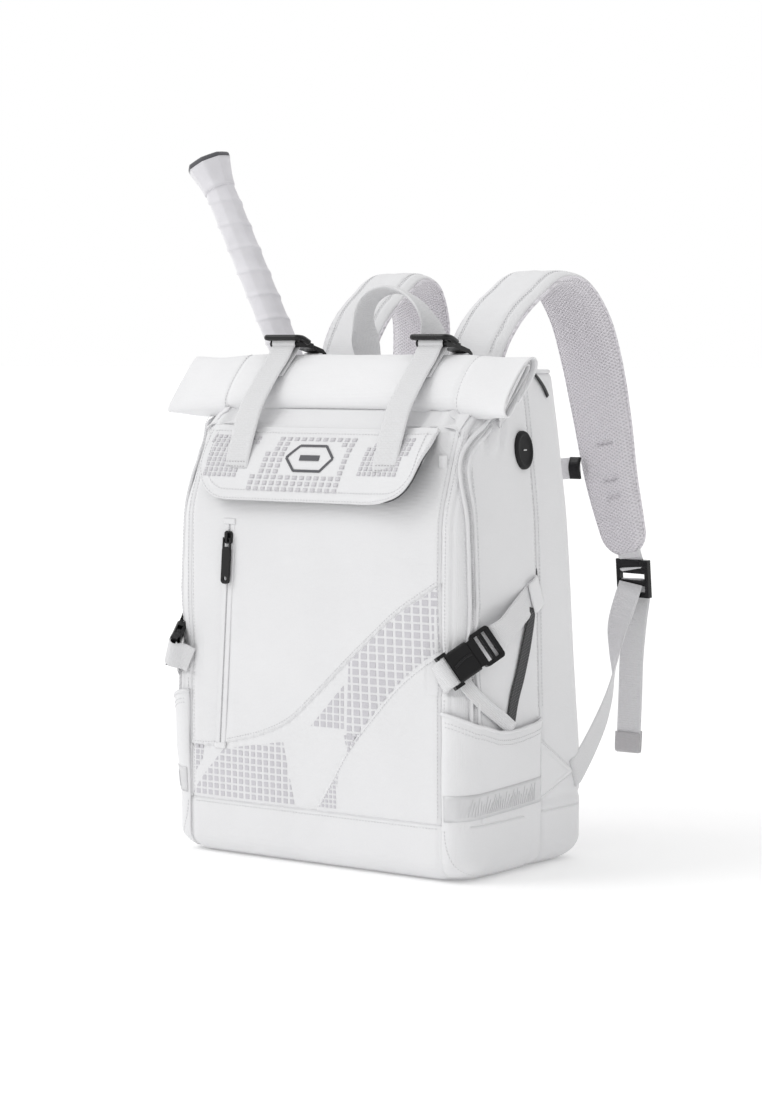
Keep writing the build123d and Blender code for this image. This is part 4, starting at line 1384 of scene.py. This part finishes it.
def buckle_pieces():
    moving = [f"buckle_{part}_{name}" for name in SIDES for part in ("plug", "prong_upper", "prong_lower")]
    for node in ("buckle_sockets", *moving):
        finish_node(node, BLACK, 0.0006)
    along, over, out = buckle_axes()

    def at(x, y, z):
        return BUCKLE_FOOT + along * x + over * y + out * z

    for name, side in SIDES.items():
        tab = [Vector((0.1330, -0.0952, 0.1672)), Vector((0.1395, -0.0992, 0.1706)), at(-0.004, 0, 0.0002),
               at(0.0008, 0, 0.0042), at(0.0062, 0, 0.0040), at(0.0064, 0, -0.0030), at(-0.002, 0, -0.0034)]
        turns = [Vector((0, -0.3, 0.95)), Vector((-0.2, -0.3, 0.9)), over, over, over, over, over]
        on_bag(webbing("socket_tab_" + name, tab, turns, 0.0245, 0.0014, side=side, steps=40), "webbing",
               "socket_tabs")
        ridge = [at(x, 2.2e-3 * math.sin((x - 0.008) * 130),
                    0.0042 + 0.0008 * math.sin(math.pi * (x - 0.007) / 0.020))
                 for x in np.linspace(0.008, 0.0265, 14)]
        on_bag(tube("buckle_ridge_" + name, ridge, 0.0011, BLACK, side), "black_plastic")
        route = [at(0.0450, 0, -0.0030), at(0.0505, 0, -0.0035)]
        route += mm([(166.0, -50, 205.5), (162.6, -32, 213), (158.2, -12, 221.5), (153.9, 8, 229.5),
                     (152.6, 20, 234.5)])
        turns = [over] * 2 + [Vector((0, -0.55, 0.83))] * 5
        strap = webbing("side_strap_" + name, route, turns, WEBBING, 0.0016, side=side, steps=60)
        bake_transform(strap)
        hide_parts("side_straps")
        patch = [side_point(y, z, 0.0034, 1)
                 for y, z in ((0.004, 0.2285), (0.012, 0.2315), (0.0215, 0.2355))]
        on_bag(webbing("side_strap_patch_" + name, patch, (0, -0.42, 0.90), 0.0275, 0.0016, FABRIC, side,
                       steps=8), "webbing")
        slit = [skin(round_to_y(0.0212, z), z, 0.0004) for z in (0.238, 0.245, 0.253)]
        on_bag(tube("side_seam_slit_" + name, slit, 0.0008, LINING, side, radii=[0.0002, 0.0011, 0.0002]))


PAD_ROUTE = mm([(70, 42, 422), (70.5, 53, 444), (72, 70, 464), (74, 96, 483), (77, 128, 499),
                (82, 158, 493), (88, 180, 465), (95, 190, 425), (103, 195, 375), (111, 197, 325),
                (120, 199, 285), (126, 203, 255)])
PAD_WIDTH = [0.056, 0.060, 0.062, 0.062, 0.062, 0.062, 0.062, 0.061, 0.058, 0.054, 0.049, 0.043]
PAD_THICK = 0.012
PAD_STEPS = 170
PAD_LENGTH = 0.60


def pad_frames():
    points = spline(PAD_ROUTE, PAD_STEPS)
    return list(zip(points, directions(points, (1, 0, 0))))


def pad_width(share):
    """Width along the pad, drawn in round its lower end."""
    width = float(np.interp(share, np.linspace(0, 1, 12), PAD_WIDTH))
    into = max(0.0, share - 0.955) / 0.045
    return width * math.sqrt(max(0.02, 1 - 0.85 * into ** 2))


def pad_offset(share, t, top):
    """Height of the pad's outer or inner face over its middle, t across from -1 to 1."""
    into = max(0.0, share - 0.965) / 0.035
    full = (PAD_THICK / 2 + 0.0010) * math.sqrt(max(0.03, 1 - into ** 2))
    height = 0.0014 + (full - 0.0014) * (1 - abs(t) ** 5)
    run = share * PAD_LENGTH
    if top:
        height -= 0.0017 * (bump(abs(t) - 0.66, 0.035))
        height += 0.0004 * math.sin(run * 90)
    else:
        for tack in (0.452, 0.500, 0.524):
            height -= 0.0040 * bump(run - tack, 0.0026) * smooth((0.34 - abs(t - 0.1)) / 0.12)
        height -= 0.0010 * bump(abs(t) - 0.86, 0.03)
    return height if top else -height


def harness_pieces():
    frames = pad_frames()
    across = 28
    for name, side in SIDES.items():
        body = "shoulder_strap_" + name
        rings, uvs = [], []
        for k, (p, (_, over, out)) in enumerate(frames):
            share = k / PAD_STEPS
            half = pad_width(share) / 2
            ring_points = []
            for top in (True, False):
                order = range(across + 1) if top else range(across - 1, 0, -1)
                for i in order:
                    t = -1 + 2 * i / across
                    wobble = 0.0004 * noise.noise(Vector((t * 3, share * 30, 1 if top else 5)))
                    ring_points.append(p + over * (t * half) + out * (pad_offset(share, t, top) + wobble))
                    uvs.append((t * half, share * PAD_LENGTH))
            rings.append(ring_points)
        pad = loft("shoulder_pad_foam_" + name, rings, MESH_UV, side, uvs)
        pad.data.materials.append(FABRIC)
        count = len(rings[0])
        for polygon in pad.data.polygons:
            if polygon.index < count * PAD_STEPS and polygon.index % count < across:
                polygon.material_index = 1
        own(pad, body, "air_mesh", "shoulder_pad_" + name)
        for label, t in (("inner", -1), ("outer", 1)):
            edge = [p + axes[1] * (t * (pad_width(k / PAD_STEPS) / 2 - 0.0002))
                    for k, (p, axes) in enumerate(frames)]
            own(tube(f"shoulder_pad_binding_{label}_{name}", edge, 0.0014, MESH, side), body, "air_mesh")
        rows = []
        for t in (-0.70, -0.62, 0.62, 0.70):
            row = []
            for k, (p, (_, over, out)) in enumerate(frames[4:-8], 4):
                share = k / PAD_STEPS
                place = p + over * (t * pad_width(share) / 2)
                row.append((place + out * (pad_offset(share, t, True) + THREAD_LIFT), out))
            rows.append(row)
        own(stitches("shoulder_pad_stitches_" + name, rows, side), body, "air_mesh")
        base = [Vector((0.070, 0.034, 0.4206)), Vector((0.070, 0.046, 0.4208)),
                Vector((0.070, 0.056, 0.4206))]
        on_bag(webbing("shoulder_pad_anchor_" + name, base, (1, 0, 0), 0.058, 0.0022, FABRIC, side,
                       steps=10))

        finish_node("ladder_lock_" + name, BLACK, 0.0008)
        web = mm([(126.5, 201, 262), (128.2, 204.5, 250), (129.4, 208.8, 243.5), (129.8, 210.4, 240.2),
                  (129.9, 206.5, 238.2), (129.2, 203.0, 242)])
        own(webbing("pad_end_webbing_" + name, web, (1, 0, 0), WEBBING, 0.0016, side=side, steps=36), body,
            "webbing")
        tail = mm([(129.2, 206.5, 231.5), (129.4, 213.0, 228.5), (128.6, 216.6, 218), (125.0, 216.8, 192),
                   (122.6, 215.4, 160), (121.4, 215.4, 124), (120.4, 214.0, 77)])
        own(webbing("webbing_tail_cloth_" + name, tail, (1, 0, 0), WEBBING, 0.0017, side=side), body,
            "webbing", "webbing_tail_" + name)
        fold = mm([(121.0, 215.6, 94), (120.7, 215.4, 84), (120.4, 214.8, 75.5), (120.3, 213.2, 74.6),
                   (120.5, 212.2, 80), (120.8, 212.6, 92)])
        own(webbing("webbing_tail_end_" + name, fold, (1, 0, 0), 0.0262, 0.0016, WEB_DARK, side, steps=30),
            body, "webbing")
        rows = [[(Vector((0.1095 + 0.0225 * k / 10, 0.2170, z)), Vector((0, 1, 0))) for k in range(11)]
                for z in (0.0885, 0.0910)]
        own(stitches("webbing_tail_stitches_" + name, rows, side), body, "webbing")

        route = mm([(129.0, 203.5, 228), (127, 199.5, 216), (122.4, 194, 193), (126, 184, 172),
                    (134, 168, 148), (143, 141, 122), (150.5, 108, 98), (157.4, 74, 77.5),
                    (158.0, 66, 74.5)])
        turns = [Vector(v) for v in ((1, 0, 0), (1, 0, 0), (1, -0.15, 0), (0.9, -0.5, 0.3),
                                     (0.5, -0.7, 0.6), (0.2, -0.6, 0.8), (0.08, -0.55, 0.84),
                                     (0, -0.45, 0.85), (0, -0.45, 0.85))]
        lower = webbing("lower_webbing_" + name, route, turns, WEBBING, 0.0016, side=side, steps=90)
        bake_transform(lower)
        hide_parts("lower_webbings")
    sternum_pieces()
    haul_piece()


def sternum_pieces():
    ends = {"right": 17, "left": 19}
    for name, side in SIDES.items():
        body = "shoulder_strap_" + name
        route = mm([(84, 188.5, 331), (62, 185.6, 329), (40, 187.6, 325), (ends[name], 189, 322)])
        strap = webbing("sternum_webbing_" + name, route, (0, 0, 1), 0.019, 0.0015, side=side, steps=36)
        own(strap, body, "webbing", "sternum_strap_" + name)
        loop = mm([(80, 187.2, 340), (80, 184.4, 331), (80, 187.2, 321)])
        own(webbing("sternum_slider_" + name, loop, (1, 0, 0), 0.012, 0.0026, BLACK, side, steps=12), body,
            "black_plastic")
    case = shaped_box("sternum_socket", Vector((0.0025, 0.189, 0.322)), (0.027, 0.0076, 0.0225))
    own(case, "shoulder_strap_right", "black_plastic")
    plug = shaped_box("sternum_plug", Vector((-0.0155, 0.189, 0.322)), (0.0115, 0.0050, 0.0215))
    own(plug, "shoulder_strap_left", "black_plastic")


def shaped_box(name, centre, size):
    """Moulded case with waisted sides, eased edges and finger hollows."""
    rings = []
    for k in range(13):
        x = -0.5 + k / 12
        waist = 1 - 0.16 * bump(x, 0.22)
        end = math.sqrt(max(0.05, 1 - (abs(x) * 2) ** 8))
        row = []
        for j in range(24):
            a = j * math.tau / 24
            c, s = math.cos(a), math.sin(a)
            row.append(centre + Vector((x * size[0], signed_power(c, 0.35) * size[1] / 2 * end,
                                        signed_power(s, 0.35) * size[2] / 2 * waist * end)))
        rings.append(row)
    return loft(name, rings, BLACK)


def haul_piece():
    """Haul loop: one folded band, flat at its two legs and rolled round in the hand."""
    half = mm([(-36.5, 34.5, 419.8), (-36.8, 32.8, 430), (-37.0, 28, 448), (-35.0, 23.5, 463),
               (-28, 19.5, 476), (-16, 16.9, 485), (0, 16.0, 488.6)])
    route = half + [Vector((-p.x, p.y, p.z)) for p in reversed(half[:-1])]
    points = spline(route, 120)
    normal = Vector((0, -0.966, 0.259))
    rings, uvs = [], []
    run = 0.0
    for k, p in enumerate(points):
        along = (points[min(k + 1, 120)] - points[max(k - 1, 0)]).normalized()
        leg = 1 - smooth(min(k, 120 - k) / 34)
        over = normal * (1 - leg) + Vector((-1, -0.15, 0)) * leg
        over = (over - along * over.dot(along)).normalized()
        out = over.cross(along)
        width = 0.0245 - 0.0035 * bump(k - 60, 26)
        thick = 0.0016 + 0.0024 * (1 - leg)
        row = []
        for j in range(20):
            a = j * math.tau / 20
            c, s = math.cos(a), math.sin(a)
            row.append(p + over * (signed_power(c, 0.5) * width / 2)
                       + out * (signed_power(s, 0.7) * thick / 2))
            uvs.append((signed_power(c, 0.5) * width / 2, run))
        if k < 120:
            run += (points[k + 1] - p).length
        rings.append(row)
    own(loft("haul_loop_webbing", rings, WEB, uvs=uvs), "haul_loop", "webbing", "haul_loop")
    for name, side in SIDES.items():
        foot = [Vector((0.0368, y, 0.4214)) for y in (0.026, 0.034, 0.043)]
        on_bag(webbing("haul_loop_patch_" + name, foot, (1, 0, 0), 0.029, 0.0020, FABRIC, side, steps=8),
               "webbing")


# ---- back cushions ------------------------------------------------------------------
def cushion_pieces():
    """Four back cushions, swelled by cloth simulation, with a pressed channel across each."""
    middles = mm([(x, y, z) for x in (-54, 54) for y, z in ((94.8, 135), (85.8, 300))])
    for index, middle in enumerate(middles):
        rings = []
        tilt = Matrix.Rotation(math.radians(2.8), 3, "X")
        for k in range(15):
            v = -1 + k / 7
            row = []
            for j in range(32):
                a = j * math.tau / 32
                c, s = math.cos(a), math.sin(a)
                x = signed_power(c, 0.30) * 0.0425
                y = signed_power(s, 0.55) * 0.0036
                end = math.sqrt(max(0.06, 1 - abs(v) ** 10))
                row.append(middle + tilt @ Vector((x * (0.80 + 0.20 * end), y * end, v * 0.0735)))
            rings.append(row)
        piece = loft(f"back_cushion_{index + 1}", rings, MESH)
        inflate(piece, 0.0045, 0.005)
        for vertex in piece.data.vertices:
            for level in (-0.022, 0.022):
                press = 0.0024 * bump(vertex.co.z - middle.z - level, 0.0030)
                if vertex.co.y > middle.y + 0.001:
                    vertex.co.y -= press
        on_bag(piece, "air_mesh", "back_cushions")


def inflate(piece, voxel, cap):
    """Swells a closed form as stuffed cloth; no point moves further than cap."""
    remesh = piece.modifiers.new("remesh", "REMESH")
    remesh.mode = "VOXEL"
    remesh.voxel_size = voxel
    bake(piece)
    start = np.array([v.co[:] for v in piece.data.vertices])
    cloth = piece.modifiers.new("cloth", "CLOTH")
    cloth.settings.use_pressure = True
    cloth.settings.uniform_pressure_force = 4
    cloth.settings.effector_weights.gravity = 0
    cloth.settings.quality = 5
    scene = bpy.context.scene
    for step in range(1, 21):
        scene.frame_set(step)
    bake(piece)
    scene.frame_set(1)
    moved = np.array([v.co[:] for v in piece.data.vertices])
    shift = moved - start
    length = np.maximum(1e-9, np.linalg.norm(shift, axis=1))
    shift *= np.minimum(1.0, cap / length)[:, None]
    piece.data.vertices.foreach_set("co", (start + shift).ravel())
    finer = piece.modifiers.new("finer", "SUBSURF")
    finer.levels = finer.render_levels = 1
    bake(piece)


def bake(piece):
    """Applies a piece's modifiers to its mesh."""
    bpy.context.view_layer.update()
    made = bpy.data.meshes.new_from_object(piece.evaluated_get(bpy.context.evaluated_depsgraph_get()))
    piece.modifiers.clear()
    piece.data = made
    made.polygons.foreach_set("use_smooth", [True] * len(made.polygons))


# ---- racket -------------------------------------------------------------------------
GRIP_LENGTH = 0.205


def octagon(radius, angle, soften=0.35):
    """Radius of a softened octagon at an angle."""
    step = math.pi / 4
    local = (angle + step / 2) % step - step / 2
    flat = radius * math.cos(step / 2) / math.cos(local)
    return flat * (1 - soften) + radius * 0.962 * soften


def racket_pieces():
    over = Vector((0, 1, 0)).cross(RACKET_AXIS).normalized()
    other = RACKET_AXIS.cross(over)

    def around(back, radius, angle):
        """Point back metres below the butt's end."""
        spoke = over * math.cos(angle) + other * math.sin(angle)
        return RACKET_BUTT - RACKET_AXIS * back + spoke * radius

    pitch = 0.0235
    angles = [j * math.tau / 64 for j in range(64)]
    rings, uvs = [], []
    for k in range(241):
        back = pitch + (GRIP_LENGTH - pitch) * k / 240
        row = []
        for a in angles:
            phase = ((back - a / math.tau * pitch) / pitch) % 1.0
            lap = (0.0009 * (1 - smooth(phase / 0.10)) + 0.0007 * smooth((phase - 0.80) / 0.2)
                   - 0.0003 * math.sin(math.pi * phase))
            r = octagon(GRIP_RADIUS - 0.0006, a, 0.45) + lap
            row.append(around(back, r, a))
            uvs.append((a * GRIP_RADIUS, back))
        rings.append(row)
    own(loft("racket_grip_wrap", rings, GRIP, uvs=uvs), "racket", "grip_wrap", "racket_grip")
    profile = [(GRIP_LENGTH - 0.002, 0.0135), (GRIP_LENGTH + 0.004, 0.0130), (GRIP_LENGTH + 0.012, 0.0105),
               (GRIP_LENGTH + 0.023, 0.0066), (GRIP_LENGTH + 0.0245, 0.0045)]
    cone = [[around(b, r, j * math.tau / 40) for j in range(40)] for b, r in profile]
    own(loft("racket_cone", cone, LACQUER), "racket", "racket_lacquer")
    profile = [(0.030, 0.0146), (0.026, 0.0150), (0.020, 0.0160), (0.014, 0.0176), (0.008, 0.0192),
               (0.0045, 0.0203)]
    flare = [[around(b, octagon(r, a, 0.3) + 0.0006, a) for a in angles] for b, r in profile]
    own(loft("racket_butt_flare", flare, GRIP), "racket", "butt_cap", "racket_butt_cap")
    profile = [(0.0050, 0.0200), (0.0042, 0.0208), (0.0016, 0.0209), (0.0002, 0.0200), (0.0000, 0.0180),
               (0.0012, 0.0150), (0.0014, 0.0050)]
    end = [[around(b, octagon(r, a, 0.3), a) for a in angles] for b, r in profile]
    own(loft("racket_butt_end", end, BUTT_DARK), "racket", "butt_cap")
    finish_node("racket_frame", LACQUER, 0.001)
    finish_node("racket_shaft", LACQUER)
    finish_node("racket_strings", STRINGS)


def inner_pieces():
    for node in ("base_stiffener", "frame_sheet", "roll_stiffener"):
        finish_node(node, BOARD, 0.0003)
    for node in ("pocket_divider", "sleeve_divider"):
        finish_node(node, INNER)


# ---- floor, light and camera --------------------------------------------------------
def studio():
    floor = build("floor", [(-60, -60, 0), (60, -60, 0), (60, 60, 0), (-60, 60, 0)], [(0, 1, 2, 3)],
                  moulded("floor_paint", (0.95, 0.95, 0.95), 0.9, 0.00001, 0.005))
    glow = floor.data.materials[0].node_tree.nodes["Principled BSDF"]
    glow.inputs["Emission Color"].default_value = (1, 1, 1, 1)
    glow.inputs["Emission Strength"].default_value = 0.14
    floor.location.z = -0.0004
    scene = bpy.context.scene
    world = bpy.data.worlds.new("studio")
    world.use_nodes = True
    nodes, links = world.node_tree.nodes, world.node_tree.links
    background = nodes["Background"]
    way = nodes.new("ShaderNodeTexCoord")
    split = nodes.new("ShaderNodeSeparateXYZ")
    links.new(way.outputs["Generated"], split.inputs["Vector"])
    dim = nodes.new("ShaderNodeMapRange")
    dim.inputs["From Min"].default_value = -0.1
    dim.inputs["From Max"].default_value = 0.8
    dim.inputs["To Min"].default_value = 1.0
    dim.inputs["To Max"].default_value = 0.62
    links.new(split.outputs["X"], dim.inputs["Value"])
    background.inputs["Color"].default_value = (1, 1, 1, 1)
    links.new(dim.outputs["Result"], background.inputs["Strength"])
    scene.world = world
    light = bpy.data.lights.new("key", "SUN")
    light.energy = 0.55
    light.angle = math.radians(28)
    key = bpy.data.objects.new("key", light)
    key.rotation_euler = (math.radians(42), math.radians(-18), math.radians(-25))
    scene.collection.objects.link(key)
    scene.view_settings.view_transform = "Standard"

    lens = bpy.data.cameras.new("camera")
    lens.lens = 94.67
    lens.sensor_width = 36
    camera = bpy.data.objects.new("camera", lens)
    camera.location = (1.51017, -1.99101, 0.43443)
    turn, tip = math.radians(37.14), math.radians(3.913)
    ahead = Vector((-math.sin(turn) * math.cos(tip), math.cos(turn) * math.cos(tip), -math.sin(tip)))
    camera.rotation_euler = ahead.to_track_quat("-Z", "Y").to_euler()
    scene.collection.objects.link(camera)
    scene.camera = camera


studio()
body_pieces()
cover_pieces()
roll_pieces()
flap_pieces()
print_pieces()
seam_stitches()
zip_pieces()
pocket_pieces()
roll_straps()
buckle_pieces()
harness_pieces()
cushion_pieces()
racket_pieces()
inner_pieces()
